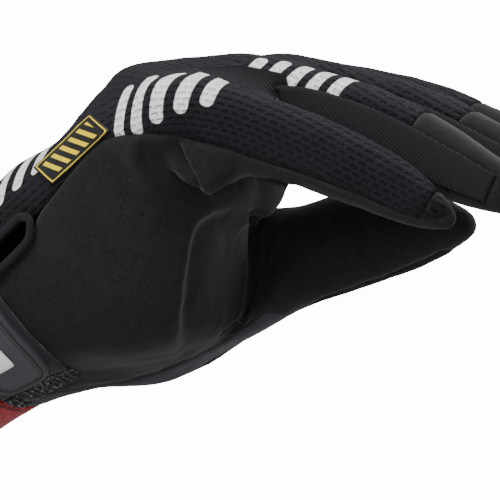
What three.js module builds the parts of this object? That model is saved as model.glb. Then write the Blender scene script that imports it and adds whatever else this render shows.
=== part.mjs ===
import * as THREE from 'three';

// Mechanic glove for a right hand, in the half closed grip it keeps when it is worn.
// All lengths are in millimetres. The hand has its own axes: reach runs from the wrist to
// the knuckles, side runs from the little finger to the thumb, rise runs out of the back.

// Main sizes
const CUFF_REACH = 42;
const WRIST_REACH = 50;
const KNUCKLE_REACH = 84;
const HALF_WIDTH = 42;
const HALF_DEPTH = 25;
const LITTLE_LENGTH = 81;
const RING_LENGTH = 92;
const MIDDLE_LENGTH = 100;
const INDEX_LENGTH = 93;
const FINGER_WIDTH = 20.6;
const THUMB_WIDTH = 25;
const THUMB_DEPTH = 28.6;
const THUMB_REACH = 58.5;
const WEB_DEPTH = 17.5;
const TIP_ROUND = 0.9;
const THUMB_SEAM_ROW = 2;

// Walls and gaps
const KNIT_WALL = 1.7;
const LEATHER_WALL = 1.3;
const CUFF_WALL = 2.0;
const STRIP_WALL = 1.0;
const SEAM_GAP = 0.36;
const LAYER_GAP = 0.3;

// Wrist vent on the little finger side
const VENT_REACH = 25;
const VENT_HALF_WIDTH = 3.2;
const BINDING_WIDTH = 2.6;
const BINDING_HEIGHT = 0.8;
const BINDING_LIFT = 1.2;

// Cuff band and closing strap
const CUFF_BAND_WIDTH = 22.5;
const STRAP_WIDTH = 23;
const STRAP_END_REACH = 6;
const STRAP_WALL = 1.3;
const PLATE_WALL = 1.9;
const PLATE_MARGIN = 1.4;
const INSET_WALL = 0.9;
const INSET_WIDTH = 5.4;
const HOOK_WALL = 1.3;
const STRAP_BACK_ARC = 36;
const PLATE_END_ARC = 35;
const PLATE_BACK_ARC = 12;
const HOOK_LENGTH = 8.5;
const INSET_ARC = 4;
const INSET_LENGTH = 20;

// Side label
const LABEL_LENGTH = 24;
const LABEL_WIDTH = 9.5;
const LABEL_WALL = 0.9;
const LABEL_REACH = 37;
const LABEL_MARGIN = 0.6;

// Directions of the hand axes in the frame of the part
const REACH_AXIS = new THREE.Vector3(0.7504719, -0.34202014, 0.56552114);
const SIDE_AXIS = new THREE.Vector3(0.47870362, 0.87126783, -0.10832922);
const RISE_AXIS = new THREE.Vector3(-0.45566959, 0.35201505, 0.8175883);

// Colours, roughness
const KNIT = { color: 0x2b2b32, roughness: 0.9, metalness: 0 };
const LEATHER = { color: 0x1e1d1e, roughness: 0.86, metalness: 0 };
const STRETCH = { color: 0x202024, roughness: 0.85, metalness: 0 };
const RED_WEB = { color: 0xb31f29, roughness: 0.8, metalness: 0 };
const RUBBER = { color: 0x3a3c40, roughness: 0.55, metalness: 0 };
const WHITE = { color: 0xe9e9e6, roughness: 0.5, metalness: 0 };
const HOOK = { color: 0x26272a, roughness: 0.95, metalness: 0 };
const LABEL = { color: 0x17171a, roughness: 0.6, metalness: 0 };

// Tracks that run along the palm tube. Reach is a share of WRIST_REACH, side a share of
// HALF_WIDTH and rise a share of HALF_DEPTH. The last station is where the thumb parts.
const TRACK_COLUMNS = ['reach', 'side', 'rise'];
const TRACKS = {
  seam: [
    [-0.84, -0.79, -0.28], [-0.4, -0.8, -0.28], [0, -0.81, -0.26], [0.4, -0.82, -0.21],
    [0.76, -0.86, -0.08], [1.0, -0.9, 0.0],
  ],
  shoulder: [
    [-0.84, -0.52, 0.48], [-0.4, -0.52, 0.5], [0, -0.52, 0.54], [0.4, -0.54, 0.72],
    [0.76, -0.54, 0.62], [1.04, -0.54, 0.76],
  ],
  crown: [
    [-0.84, 0, 0.7], [-0.4, 0, 0.7], [0, 0, 0.72], [0.4, 0, 0.86],
    [0.76, 0, 0.8], [1.08, 0, 0.9],
  ],
  outer: [
    [-0.84, 0.54, 0.46], [-0.4, 0.54, 0.48], [0, 0.56, 0.54], [0.4, 0.6, 0.6],
    [0.76, 0.6, 0.6], [1.1, 0.58, 0.66],
  ],
  corner: [
    [-0.84, 0.8, -0.24], [-0.4, 0.8, -0.24], [0, 0.86, -0.16], [0.4, 0.98, -0.12],
    [0.76, 1.03, -0.2], [1.08, 0.98, -0.34],
  ],
  thumbSide: [
    [-0.84, 0.71, -0.74], [-0.4, 0.72, -0.78], [0, 0.94, -0.96], [0.14, 1.1, -1.16], [0.4, 1.24, -1.2],
    [0.76, 1.34, -1.14], [1.04, 1.38, -1.1],
  ],
  thumbSeam: [
    [-0.84, 0.2, -1.16], [-0.4, 0.2, -1.24], [0, 0.4, -1.48], [0.14, 0.56, -1.66], [0.4, 0.76, -1.7],
    [0.76, 0.89, -1.68], [0.96, 0.97, -1.7],
  ],
  crease: [
    [-0.84, -0.04, -1.18], [-0.4, -0.04, -1.26], [0, 0.02, -1.36], [0.4, 0.18, -1.72],
    [0.72, 0.34, -1.84], [0.82, 0.38, -1.8],
  ],
  heel: [
    [-0.84, -0.44, -0.98], [-0.4, -0.44, -1.06], [0, -0.42, -1.16], [0.4, -0.38, -1.52],
    [0.74, -0.35, -1.72], [0.92, -0.34, -1.54],
  ],
};

// Line where the thumb parts from the palm, from the back edge down to the palm crease
const WEB_LINE = [
  { reach: 1.11, side: 0.81, rise: -0.6 },
  { reach: 1.02, side: 0.65, rise: -1.08 },
  { reach: 0.89, side: 0.5, rise: -1.56 },
];

// Sections between that line and the knuckles: the notch beside the thumb, then the pad
// at the base of the fingers
const HAND_SECTIONS = [
  {
    seam: { reach: 1.14, side: -0.92, rise: -0.03 },
    shoulder: { reach: 1.17, side: -0.54, rise: 0.79 },
    crown: { reach: 1.21, side: 0.01, rise: 0.86 },
    outer: { reach: 1.22, side: 0.57, rise: 0.7 },
    corner: { reach: 1.2, side: 1.0, rise: -0.1 },
    under: { reach: 1.14, side: 0.64, rise: -0.68 },
    hollow: { reach: 1.11, side: 0.22, rise: -1.06 },
    heel: { reach: 1.09, side: -0.29, rise: -1.22 },
  },
  {
    seam: { reach: 1.28, side: -0.95, rise: -0.17 },
    shoulder: { reach: 1.32, side: -0.53, rise: 0.83 },
    crown: { reach: 1.38, side: 0.02, rise: 0.84 },
    outer: { reach: 1.4, side: 0.55, rise: 0.8 },
    corner: { reach: 1.38, side: 1.02, rise: 0.16 },
    under: { reach: 1.28, side: 0.68, rise: -0.78 },
    hollow: { reach: 1.26, side: 0.28, rise: -0.88 },
    heel: { reach: 1.25, side: -0.28, rise: -0.98 },
  },
];

// One row per finger. Root: reach is a share of KNUCKLE_REACH, side and rise as above.
// Bends are in degrees at three joints, which lie at shares of the finger's length.
const FINGERS = [
  {
    name: 'little', length: LITTLE_LENGTH, root: [0.905, -0.79, -0.12], roll: 22, splay: -5.0,
    bends: [54, 3.8, 7.6], joints: [0.47, 0.72], girth: 0.95, knitEnd: 0.93,
    web: 1.26,
  },
  {
    name: 'ring', length: RING_LENGTH, root: [1.0, -0.29, 0.08], roll: 12, splay: -2.6,
    bends: [51, 9, 1], joints: [0.47, 0.75], girth: 1.0, knitEnd: 0.62,
    web: 1.1,
  },
  {
    name: 'middle', length: MIDDLE_LENGTH, root: [1.036, 0.24, 0.16], roll: 4, splay: 0.4,
    bends: [50, 9, 1], joints: [0.47, 0.75], girth: 1.02, knitEnd: 0.62,
    web: 0.96,
  },
  {
    name: 'index', length: INDEX_LENGTH, root: [1.012, 0.76, 0.32], roll: -4, splay: 4.0,
    bends: [47, 8, 8], joints: [0.47, 0.75], girth: 1.0, knitEnd: 0.62,
    web: 0.8,
  },
];
const BEND_SPREAD = 14;

// Finger girth along its length: half width, height above and depth below the centre
// line, as shares of half the FINGER_WIDTH
const GIRTH_COLUMNS = ['along', 'half', 'above', 'below'];
const GIRTH = [
  [0, 1.06, 0.9, 1.36],
  [0.19, 1.0, 1.02, 1.3],
  [0.38, 0.91, 1.05, 1.12],
  [0.53, 0.87, 1.02, 1.05],
  [0.7, 0.83, 0.92, 0.97],
  [0.82, 0.76, 0.78, 0.82],
  [0.92, 0.6, 0.58, 0.62],
  [1.0, 0.3, 0.22, 0.26],
];

// Thumb centre line and girth: reach in shares of THUMB_REACH past WRIST_REACH, side of
// HALF_WIDTH, rise of HALF_DEPTH, half width of THUMB_WIDTH, half depth of THUMB_DEPTH
const THUMB_COLUMNS = ['reach', 'side', 'rise', 'half', 'depth'];
const THUMB = [
  [0.1, 1.05, -1.16, 0.53, 0.49],
  [0.26, 1.08, -1.24, 0.52, 0.51],
  [0.45, 1.1, -1.37, 0.5, 0.5],
  [0.64, 1.08, -1.58, 0.46, 0.45],
  [0.8, 1.03, -1.8, 0.39, 0.35],
  [0.92, 0.98, -1.98, 0.28, 0.22],
  [1.0, 0.95, -2.1, 0.12, 0.1],
];

// Column counts around the tube
const FINGER_COLUMNS = 4;
const BACK_COLUMNS = FINGER_COLUMNS * FINGERS.length;
const THUMB_BACK_COLUMNS = 6;
const THUMB_FRONT_COLUMNS = 3;
const WEB_COLUMNS = WEB_LINE.length + 1;
const PALM_START = BACK_COLUMNS + THUMB_BACK_COLUMNS + THUMB_FRONT_COLUMNS;
const LAST_COLUMN = PALM_START + BACK_COLUMNS;

// Value of a named column at any place along a table, on a smooth curve through its rows
function tableAt(rows, names, name, at) {
  const column = names.indexOf(name);
  const count = rows.length;
  let i = 0;
  while (i < count - 2 && at > rows[i + 1][0]) {
    i += 1;
  }
  const slope = (k) => {
    const a = Math.max(k - 1, 0);
    const b = Math.min(k + 1, count - 1);
    return (rows[b][column] - rows[a][column]) / (rows[b][0] - rows[a][0]);
  };
  const span = rows[i + 1][0] - rows[i][0];
  const t = (at - rows[i][0]) / span;
  const t2 = t * t;
  const t3 = t2 * t;
  return rows[i][column] * (2 * t3 - 3 * t2 + 1)
    + span * slope(i) * (t3 - 2 * t2 + t)
    + rows[i + 1][column] * (3 * t2 - 2 * t3)
    + span * slope(i + 1) * (t3 - t2);
}

function smooth(t) {
  const c = Math.min(Math.max(t, 0), 1);
  return c * c * (3 - 2 * c);
}

// Point of the hand axes from shares of the named sizes
function handPoint(reachShare, sideShare, riseShare) {
  return new THREE.Vector3(reachShare * WRIST_REACH, sideShare * HALF_WIDTH, riseShare * HALF_DEPTH);
}

// Palm tube from the cuff to the thumb's parting line
const TRACK_NAMES = Object.keys(TRACKS);
const TRACK_STEPS = [4, 4, 4, 4, 3, 3, THUMB_FRONT_COLUMNS, 8, 8];

function trackPoint(name, reach) {
  const rows = TRACKS[name];
  const at = reach / WRIST_REACH;
  return handPoint(
    at,
    tableAt(rows, TRACK_COLUMNS, 'side', at),
    tableAt(rows, TRACK_COLUMNS, 'rise', at),
  );
}

// Closed curve of one section, given how far along the tube it lies (0 cuff, 1 thumb line)
function sectionCurve(along) {
  const keys = TRACK_NAMES.map((name) => {
    const rows = TRACKS[name];
    const end = rows[rows.length - 1][0] * WRIST_REACH;
    return trackPoint(name, -CUFF_REACH + (end + CUFF_REACH) * along);
  });
  return new THREE.CatmullRomCurve3(keys, true, 'centripetal');
}

// Curve parameter of a column number, which may be fractional
function columnParameter(column) {
  const total = TRACK_STEPS.length;
  let left = ((column % LAST_COLUMN) + LAST_COLUMN) % LAST_COLUMN;
  for (let k = 0; k < total; k += 1) {
    if (left <= TRACK_STEPS[k]) {
      return (k + left / TRACK_STEPS[k]) / total;
    }
    left -= TRACK_STEPS[k];
  }
  return 1;
}

// How far along the tube the side seam reaches a given distance from the wrist
function alongAt(reach) {
  return (reach + CUFF_REACH) / (WRIST_REACH + CUFF_REACH);
}

// Half width of the vent at a distance from the wrist, round at its closed end
function ventHalf(reach) {
  const left = VENT_REACH - reach;
  if (left <= 0) {
    return 0;
  }
  const round = Math.min(left / VENT_HALF_WIDTH, 1);
  return VENT_HALF_WIDTH * Math.sqrt(1 - (1 - round) * (1 - round)) * (1 + 0.006 * left);
}

// One ring of the palm tube. Columns beside the vent are drawn away from its middle.
function palmRing(reach) {
  const along = alongAt(reach);
  const curve = sectionCurve(along);
  const ring = [];
  for (let c = 0; c <= LAST_COLUMN; c += 1) {
    ring.push(curve.getPoint(columnParameter(c)));
  }
  const open = ventHalf(reach);
  const spread = [1, 0.55, 0.22, 0.06];
  for (let c = 0; c < spread.length; c += 1) {
    const up = ring[c + 1].clone().sub(ring[c]).normalize();
    ring[c].addScaledVector(up, open * spread[c]);
    const k = LAST_COLUMN - c;
    const down = ring[k - 1].clone().sub(ring[k]).normalize();
    ring[k].addScaledVector(down, open * spread[c]);
  }
  return ring;
}

// Fold of the leather at the base of the little finger, and the crease in front of it
const FOLDS = [
  { reach: 0.755, rise: -0.74, height: 3.4, spread: 4.6, extent: 10 },
  { reach: 0.9, rise: -0.8, height: -3.2, spread: 3.2, extent: 9 },
  { reach: 0.62, rise: -1.1, height: 1.2, spread: 4.2, extent: 12 },
  { reach: 0.52, rise: -1.2, height: -1.2, spread: 4.2, extent: 12 },
];

function foldPoint(p) {
  let push = 0;
  for (const fold of FOLDS) {
    const a = (p.x - fold.reach * KNUCKLE_REACH) / fold.spread;
    const b = (p.z - fold.rise * HALF_DEPTH) / fold.extent;
    push += fold.height * Math.exp(-a * a - b * b);
  }
  const near = smooth((-0.3 * HALF_WIDTH - p.y) / (0.4 * HALF_WIDTH));
  p.y -= push * near;
  return p;
}

// Centre line of a finger with the directions of its width and its back
function fingerFrame(finger, s) {
  const roll = THREE.MathUtils.degToRad(finger.roll);
  const splay = THREE.MathUtils.degToRad(finger.splay);
  const width = new THREE.Vector3(0, Math.cos(roll), Math.sin(roll));
  const back = new THREE.Vector3(0, -Math.sin(roll), Math.cos(roll));
  const ahead = new THREE.Vector3(Math.cos(splay), 0, 0).addScaledVector(width, Math.sin(splay));
  const stops = [0, finger.joints[0] * finger.length, finger.joints[1] * finger.length];
  const angleAt = (u) => {
    let sum = 0;
    stops.forEach((stop, k) => {
      sum += finger.bends[k] * Math.min(Math.max((u - stop) / BEND_SPREAD + 0.5, 0), 1);
    });
    return THREE.MathUtils.degToRad(sum);
  };
  const centre = new THREE.Vector3(
    finger.root[0] * KNUCKLE_REACH,
    finger.root[1] * HALF_WIDTH,
    finger.root[2] * HALF_DEPTH,
  );
  const steps = Math.max(Math.ceil(s / 1.5), 1);
  for (let i = 0; i < steps; i += 1) {
    const a = angleAt(((i + 0.5) * s) / steps);
    centre.addScaledVector(ahead, (Math.cos(a) * s) / steps);
    centre.addScaledVector(back, (-Math.sin(a) * s) / steps);
  }
  const angle = angleAt(s);
  const up = back.clone().multiplyScalar(Math.cos(angle)).addScaledVector(ahead, Math.sin(angle));
  return { centre, width, up };
}

// Where a finger leaves its neighbours
function webOf(finger) {
  return finger.web * WEB_DEPTH;
}

function fingerPoint(finger, s, x, y) {
  const frame = fingerFrame(finger, s);
  const along = s / finger.length;
  const unit = (FINGER_WIDTH / 2) * finger.girth;
  const half = tableAt(GIRTH, GIRTH_COLUMNS, 'half', along) * unit;
  const tall = tableAt(GIRTH, GIRTH_COLUMNS, y > 0 ? 'above' : 'below', along) * unit;
  return frame.centre
    .addScaledVector(frame.width, x * half)
    .addScaledVector(frame.up, y * tall);
}

// Section places of the columns while the fingers are still joined, as shares of the
// half width and of the height or depth, from the little finger side to the thumb side
const JOINED = {
  inner: {
    back: [[-1, 0.72], [-0.5, 0.95], [0, 1], [0.5, 0.95], [1, 0.72]],
    front: [[1, -0.8], [0.5, -0.97], [0, -1], [-0.5, -0.97], [-1, -0.8]],
  },
  little: {
    back: [[-0.88, -0.47], [-0.94, 0.32], [-0.45, 0.9], [0.25, 1], [1, 0.72]],
    front: [[1, -0.8], [0.45, -1], [-0.05, -1], [-0.5, -0.86], [-0.88, -0.47]],
  },
  index: {
    back: [[-1, 0.72], [-0.5, 0.95], [0, 1], [0.45, 0.93], [0.8, 0.62]],
    side: [[0.96, 0.3], [1, -0.06], [0.94, -0.42]],
    front: [[0.78, -0.74], [0.4, -0.95], [0, -1], [-0.5, -0.97], [-1, -0.55]],
  },
};

// Ring across all four fingers at a share of the joined stretch past the knuckles
function joinedRing(share) {
  const shapes = FINGERS.map((f) => JOINED[f.name] || JOINED.inner);
  const ring = { back: [], side: [], front: [] };
  const blend = (list, points) => {
    if (list.length) {
      list[list.length - 1].lerp(points[0], 0.5);
      list.push(...points.slice(1));
    } else {
      list.push(...points);
    }
  };
  FINGERS.forEach((finger, k) => {
    blend(ring.back, shapes[k].back.map(([x, y]) => fingerPoint(finger, share * webOf(finger), x, y)));
  });
  const last = FINGERS.length - 1;
  const end = FINGERS[last];
  ring.side = shapes[last].side.map(([x, y]) => fingerPoint(end, share * webOf(end), x, y));
  for (let k = last; k >= 0; k -= 1) {
    const finger = FINGERS[k];
    const s = share * webOf(finger);
    blend(ring.front, shapes[k].front.map(([x, y]) => fingerPoint(finger, s, x, y)));
  }
  return [...ring.back, ...ring.side, ...ring.front];
}

// Ring of one free finger: back columns, thumb side, front columns, little finger side
const FREE_ANGLES = {
  inner: { back: [150, 30], side: [0], front: [-30, -150], far: [180] },
  little: { back: [208, 30], side: [0], front: [-30, -152], far: [] },
  index: { back: [150, 42], side: [21, 0, -21], front: [-42, -150], far: [180] },
};

function freeRing(finger, s) {
  const plan = FREE_ANGLES[finger.name] || FREE_ANGLES.inner;
  const spreadAngles = ([from, to]) => {
    const list = [];
    for (let i = 0; i <= FINGER_COLUMNS; i += 1) {
      list.push(from + ((to - from) * i) / FINGER_COLUMNS);
    }
    return list;
  };
  const angles = [...spreadAngles(plan.back), ...plan.side, ...spreadAngles(plan.front), ...plan.far];
  return angles.map((degrees) => {
    const a = THREE.MathUtils.degToRad(degrees);
    const full = 2.35;
    const x = Math.sign(Math.cos(a)) * Math.abs(Math.cos(a)) ** (2 / full);
    const y = Math.sign(Math.sin(a)) * Math.abs(Math.sin(a)) ** (2 / full);
    return fingerPoint(finger, s, x, y);
  });
}

// Thumb ring at a share of its reach, from the back edge round to the palm crease
const THUMB_ANGLES = { corner: 95, seam: -104, crease: -160 };

function thumbRing(at) {
  const read = (name, t) => tableAt(THUMB, THUMB_COLUMNS, name, t);
  const centreAt = (t) => new THREE.Vector3(
    WRIST_REACH + t * THUMB_REACH,
    read('side', t) * HALF_WIDTH,
    read('rise', t) * HALF_DEPTH,
  );
  const centre = centreAt(at);
  const ahead = centreAt(at + 0.01).sub(centreAt(at - 0.01)).normalize();
  const width = new THREE.Vector3(0, 1, 0).addScaledVector(ahead, -ahead.y).normalize();
  const up = ahead.clone().cross(width).normalize();
  const half = read('half', at) * THUMB_WIDTH;
  const depth = read('depth', at) * THUMB_DEPTH;
  const angles = [];
  const { corner, seam, crease } = THUMB_ANGLES;
  for (let i = 0; i < THUMB_BACK_COLUMNS; i += 1) {
    angles.push(corner + ((seam - corner) * i) / THUMB_BACK_COLUMNS);
  }
  for (let i = 0; i < THUMB_FRONT_COLUMNS; i += 1) {
    angles.push(seam + ((crease - seam) * i) / THUMB_FRONT_COLUMNS);
  }
  for (let i = 0; i < WEB_COLUMNS; i += 1) {
    angles.push(crease + ((corner - 360 - crease) * i) / WEB_COLUMNS);
  }
  return angles.map((degrees) => {
    const a = THREE.MathUtils.degToRad(degrees);
    return centre.clone()
      .addScaledVector(width, Math.cos(a) * half)
      .addScaledVector(up, Math.sin(a) * depth);
  });
}

// The glove's skin: shared points and four sided faces, each marked with its panel
const points = [];
const faces = [];

function addRing(list) {
  return list.map((p) => {
    points.push(p.clone());
    return points.length - 1;
  });
}

// Faces between two rings. The panel of each column comes from a function of its number.
function addBand(near, far, panelOf, closed = false) {
  const count = closed ? near.length : near.length - 1;
  for (let i = 0; i < count; i += 1) {
    const j = (i + 1) % near.length;
    faces.push({ corners: [near[i], far[i], far[j], near[j]], panel: panelOf(i) });
  }
}

function catmull(a, b, c, d, t) {
  const t2 = t * t;
  const t3 = t2 * t;
  return new THREE.Vector3()
    .addScaledVector(a, -0.5 * t3 + t2 - 0.5 * t)
    .addScaledVector(b, 1.5 * t3 - 2.5 * t2 + 1)
    .addScaledVector(c, -1.5 * t3 + 2 * t2 + 0.5 * t)
    .addScaledVector(d, 0.5 * t3 - 0.5 * t2);
}

// Cuff band and palm tube
const bandEnd = -CUFF_REACH + CUFF_BAND_WIDTH;
const tubeReaches = [
  bandEnd,
  -14,
  -7.5,
  -1,
  5,
  11,
  16,
  VENT_REACH - 1.6 * VENT_HALF_WIDTH,
  VENT_REACH - 0.7 * VENT_HALF_WIDTH,
  VENT_REACH - 0.15 * VENT_HALF_WIDTH,
  VENT_REACH + 0.14 * (WRIST_REACH - VENT_REACH),
  VENT_REACH + 0.4 * (WRIST_REACH - VENT_REACH),
  VENT_REACH + 0.7 * (WRIST_REACH - VENT_REACH),
  WRIST_REACH,
];
const cuffRings = [-CUFF_REACH, (bandEnd - CUFF_REACH) / 2, bandEnd];

const palmPanelOf = (i) => (i < BACK_COLUMNS + THUMB_BACK_COLUMNS ? 'back_panel' : 'palm_panel');

const cuffRows = cuffRings.map((reach) => addRing(palmRing(reach)));
for (let i = 0; i + 1 < cuffRows.length; i += 1) {
  addBand(cuffRows[i], cuffRows[i + 1], () => 'cuff_band');
}
const tubeRings = tubeReaches.map((reach) => palmRing(reach).map(foldPoint));
const tubeRows = [cuffRows[cuffRows.length - 1], ...tubeRings.slice(1).map(addRing)];
for (let i = 0; i + 1 < tubeRows.length; i += 1) {
  addBand(tubeRows[i], tubeRows[i + 1], palmPanelOf);
}

// Parting line of the thumb
const partRing = tubeRings[tubeRings.length - 1];
const partRow = tubeRows[tubeRows.length - 1];
const beforeRing = tubeRings[tubeRings.length - 2];
const webPoints = WEB_LINE.map((w) => handPoint(w.reach, w.side, w.rise));
const webRow = addRing(webPoints);
const toHand = (list, web) => [
  ...list.slice(0, BACK_COLUMNS + 1),
  ...web,
  ...list.slice(PALM_START),
];
const handStart = toHand(partRow, webRow);
const handStartRing = toHand(partRing, webPoints);
const webBehind = webPoints.map((p) => p.clone().add(new THREE.Vector3(-6, 0, -3)));
const handBefore = toHand(beforeRing, webBehind);

// Ring through the named places of one of the sections in front of the thumb
function handSection(places) {
  const keys = Object.values(places).map((k) => handPoint(k.reach, k.side, k.rise));
  const curve = new THREE.CatmullRomCurve3(keys, true, 'centripetal');
  const steps = [4, 4, 4, 4, WEB_COLUMNS, 4, 4, 8];
  const ring = [];
  steps.forEach((count, k) => {
    for (let i = 0; i < count; i += 1) {
      ring.push(curve.getPoint((k + i / count) / steps.length));
    }
  });
  ring.push(keys[0].clone());
  return ring;
}

const keyRings = [
  handBefore,
  handStartRing,
  ...HAND_SECTIONS.map(handSection),
  joinedRing(0),
  joinedRing(0.26),
];
const handRings = [];
const handSpans = [2, 2, 4];
handSpans.forEach((count, k) => {
  for (let i = 1; i <= count; i += 1) {
    handRings.push(keyRings[0].map((_, c) => catmull(
      keyRings[k][c],
      keyRings[k + 1][c],
      keyRings[k + 2][c],
      keyRings[k + 3][c],
      i / count,
    )));
  }
});
[0.26, 0.52, 0.78, 1].forEach((t) => handRings.push(joinedRing(t)));
const handRows = [handStart, ...handRings.map((ring) => addRing(ring.map(foldPoint)))];
const handPanelOf = (i) => (i < BACK_COLUMNS ? 'back_panel' : 'palm_panel');
for (let i = 0; i + 1 < handRows.length; i += 1) {
  addBand(handRows[i], handRows[i + 1], handPanelOf);
}

// Fingers, each a tube that opens from its share of the last joined ring
const lastRow = handRows[handRows.length - 1];
const frontStart = BACK_COLUMNS + WEB_COLUMNS;
const crotch = [];
for (let k = 1; k < FINGERS.length; k += 1) {
  const back = points[lastRow[k * FINGER_COLUMNS]];
  const front = points[lastRow[frontStart + (FINGERS.length - k) * FINGER_COLUMNS]];
  const middle = back.clone().lerp(front, 0.5).add(handPoint(0.02, 0, 0));
  crotch.push(addRing([middle])[0]);
}

FINGERS.forEach((finger, k) => {
  const last = FINGERS.length - 1;
  const back = lastRow.slice(k * FINGER_COLUMNS, (k + 1) * FINGER_COLUMNS + 1);
  const from = frontStart + (last - k) * FINGER_COLUMNS;
  const front = lastRow.slice(from, from + FINGER_COLUMNS + 1);
  const side = k === last ? lastRow.slice(BACK_COLUMNS + 1, frontStart) : [crotch[k]];
  const far = k === 0 ? [] : [crotch[k - 1]];
  const first = [...back, ...side, ...front, ...far];
  const sideCount = side.length + 1;
  const farCount = far.length + 1;
  const webEnd = webOf(finger);
  const rowCount = Math.round((finger.length - webEnd) / 5.2);
  const alongs = [];
  for (let i = 1; i <= rowCount; i += 1) {
    const t = i / rowCount;
    alongs.push(webEnd + (finger.length - webEnd) * (1 - (1 - t) ** 1.25));
  }
  const panelAt = (s) => (i) => {
    const along = s / finger.length;
    if (i < FINGER_COLUMNS) {
      return along < finger.knitEnd ? 'back_panel' : 'palm_panel';
    }
    const inSide = i < FINGER_COLUMNS + sideCount;
    const inFar = k > 0 && i >= first.length - farCount;
    if ((inSide && k < last) || inFar) {
      if (along < 0.9) {
        return `side_strip_${inSide ? k + 1 : k}`;
      }
    }
    return 'palm_panel';
  };
  // On the little finger the back and front meet at one seam, with a point for each
  const closed = k > 0;
  let near = first;
  let at = webEnd;
  alongs.forEach((s) => {
    const far2 = addRing(freeRing(finger, s));
    addBand(near, far2, panelAt((at + s) / 2), closed);
    near = far2;
    at = s;
  });
  // Rounded end: the back and front columns meet over a middle line
  const topCount = FINGER_COLUMNS + 1;
  const backEnd = near.slice(0, topCount);
  const sideEnd = near.slice(topCount, topCount + side.length);
  const frontEnd = near.slice(topCount + side.length, 2 * topCount + side.length).reverse();
  const farEnd = k === 0 ? backEnd[0] : near[near.length - 1];
  const tip = fingerPoint(finger, finger.length, 0, 0);
  const ahead = tip.clone().sub(fingerPoint(finger, finger.length - 1, 0, 0)).normalize();
  const grid = [backEnd];
  for (let r = 0; r < side.length; r += 1) {
    const share = (r + 1) / (side.length + 1);
    const row = [farEnd];
    for (let c = 1; c + 1 < topCount; c += 1) {
      const p = points[backEnd[c]].clone().lerp(points[frontEnd[c]], share);
      row.push(addRing([p.addScaledVector(ahead, TIP_ROUND)])[0]);
    }
    row.push(sideEnd[r]);
    grid.push(row);
  }
  grid.push(frontEnd);
  for (let r = 0; r + 1 < grid.length; r += 1) {
    for (let c = 0; c + 1 < topCount; c += 1) {
      faces.push({
        corners: [grid[r][c], grid[r + 1][c], grid[r + 1][c + 1], grid[r][c + 1]],
        panel: 'palm_panel',
      });
    }
  }
});

// Thumb, a tube from the parting line to a closed end
const thumbStart = [...partRow.slice(BACK_COLUMNS, PALM_START + 1), ...webRow.slice().reverse()];
const thumbStartRing = thumbStart.map((i) => points[i]);
const thumbFirst = thumbRing(THUMB[1][0]);
const thumbBefore = thumbStartRing.map((p, i) => {
  if (i <= THUMB_BACK_COLUMNS + THUMB_FRONT_COLUMNS) {
    return beforeRing[BACK_COLUMNS + i];
  }
  return p.clone().lerp(thumbFirst[i], -0.4);
});
const thumbSecond = thumbRing(THUMB[2][0]);
const thumbRows = [thumbStart];
const rootSteps = 4;
for (let i = 1; i <= rootSteps; i += 1) {
  thumbRows.push(addRing(thumbStartRing.map((p, c) => catmull(
    thumbBefore[c],
    p,
    thumbFirst[c],
    thumbSecond[c],
    i / rootSteps,
  ))));
}
[0.35, 0.45, 0.55, 0.64, 0.73, 0.81, 0.88, 0.94, 1.0].forEach((t) => {
  thumbRows.push(addRing(thumbRing(t)));
});
const thumbPanelOf = (row) => (i) => {
  const last = thumbRows.length - 3;
  if (i < THUMB_BACK_COLUMNS) {
    return row < last ? 'thumb_back' : 'thumb_front';
  }
  return row < THUMB_SEAM_ROW ? 'palm_panel' : 'thumb_front';
};
for (let i = 0; i + 1 < thumbRows.length; i += 1) {
  addBand(thumbRows[i], thumbRows[i + 1], thumbPanelOf(i), true);
}
const thumbEnd = thumbRows[thumbRows.length - 1];
const thumbTip = addRing([
  thumbEnd.reduce((sum, i) => sum.add(points[i]), new THREE.Vector3())
    .divideScalar(thumbEnd.length)
    .add(new THREE.Vector3(TIP_ROUND, 0, -0.5 * TIP_ROUND)),
])[0];
addBand(thumbEnd, thumbEnd.map(() => thumbTip), () => 'thumb_front', true);

// Points that lie together become one
const keyOf = (p) => `${Math.round(p.x * 500)},${Math.round(p.y * 500)},${Math.round(p.z * 500)}`;
const firstAt = new Map();
const weld = points.map((p, i) => {
  const key = keyOf(p);
  if (!firstAt.has(key)) {
    firstAt.set(key, i);
  }
  return firstAt.get(key);
});
faces.forEach((face) => {
  const corners = face.corners.map((i) => weld[i]);
  face.corners = corners.filter((v, i) => v !== corners[(i + 1) % corners.length]);
});

function faceNormal(face) {
  const [a, b, c] = face.corners.map((i) => points[i]);
  const d = face.corners.length > 3 ? points[face.corners[3]] : a;
  return c.clone().sub(a).cross(d.clone().sub(b)).lengthSq() > 1e-12
    ? c.clone().sub(a).cross(d.clone().sub(b)).multiplyScalar(0.5)
    : b.clone().sub(a).cross(c.clone().sub(a)).multiplyScalar(0.5);
}

const normals = points.map(() => new THREE.Vector3());
faces.forEach((face) => {
  const n = faceNormal(face);
  face.normal = n.clone().normalize();
  face.corners.forEach((i) => normals[i].add(n));
});
normals.forEach((n) => n.normalize());

function toPart(p) {
  return new THREE.Vector3()
    .addScaledVector(REACH_AXIS, p.x - ORIGIN.x)
    .addScaledVector(SIDE_AXIS, p.y - ORIGIN.y)
    .addScaledVector(RISE_AXIS, p.z - ORIGIN.z);
}

// The middle of the wrist opening is the origin of the part
const ORIGIN = palmRing(-CUFF_REACH)
  .slice(0, -1)
  .reduce((sum, p, _, all) => sum.addScaledVector(p, 1 / all.length), new THREE.Vector3());

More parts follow.
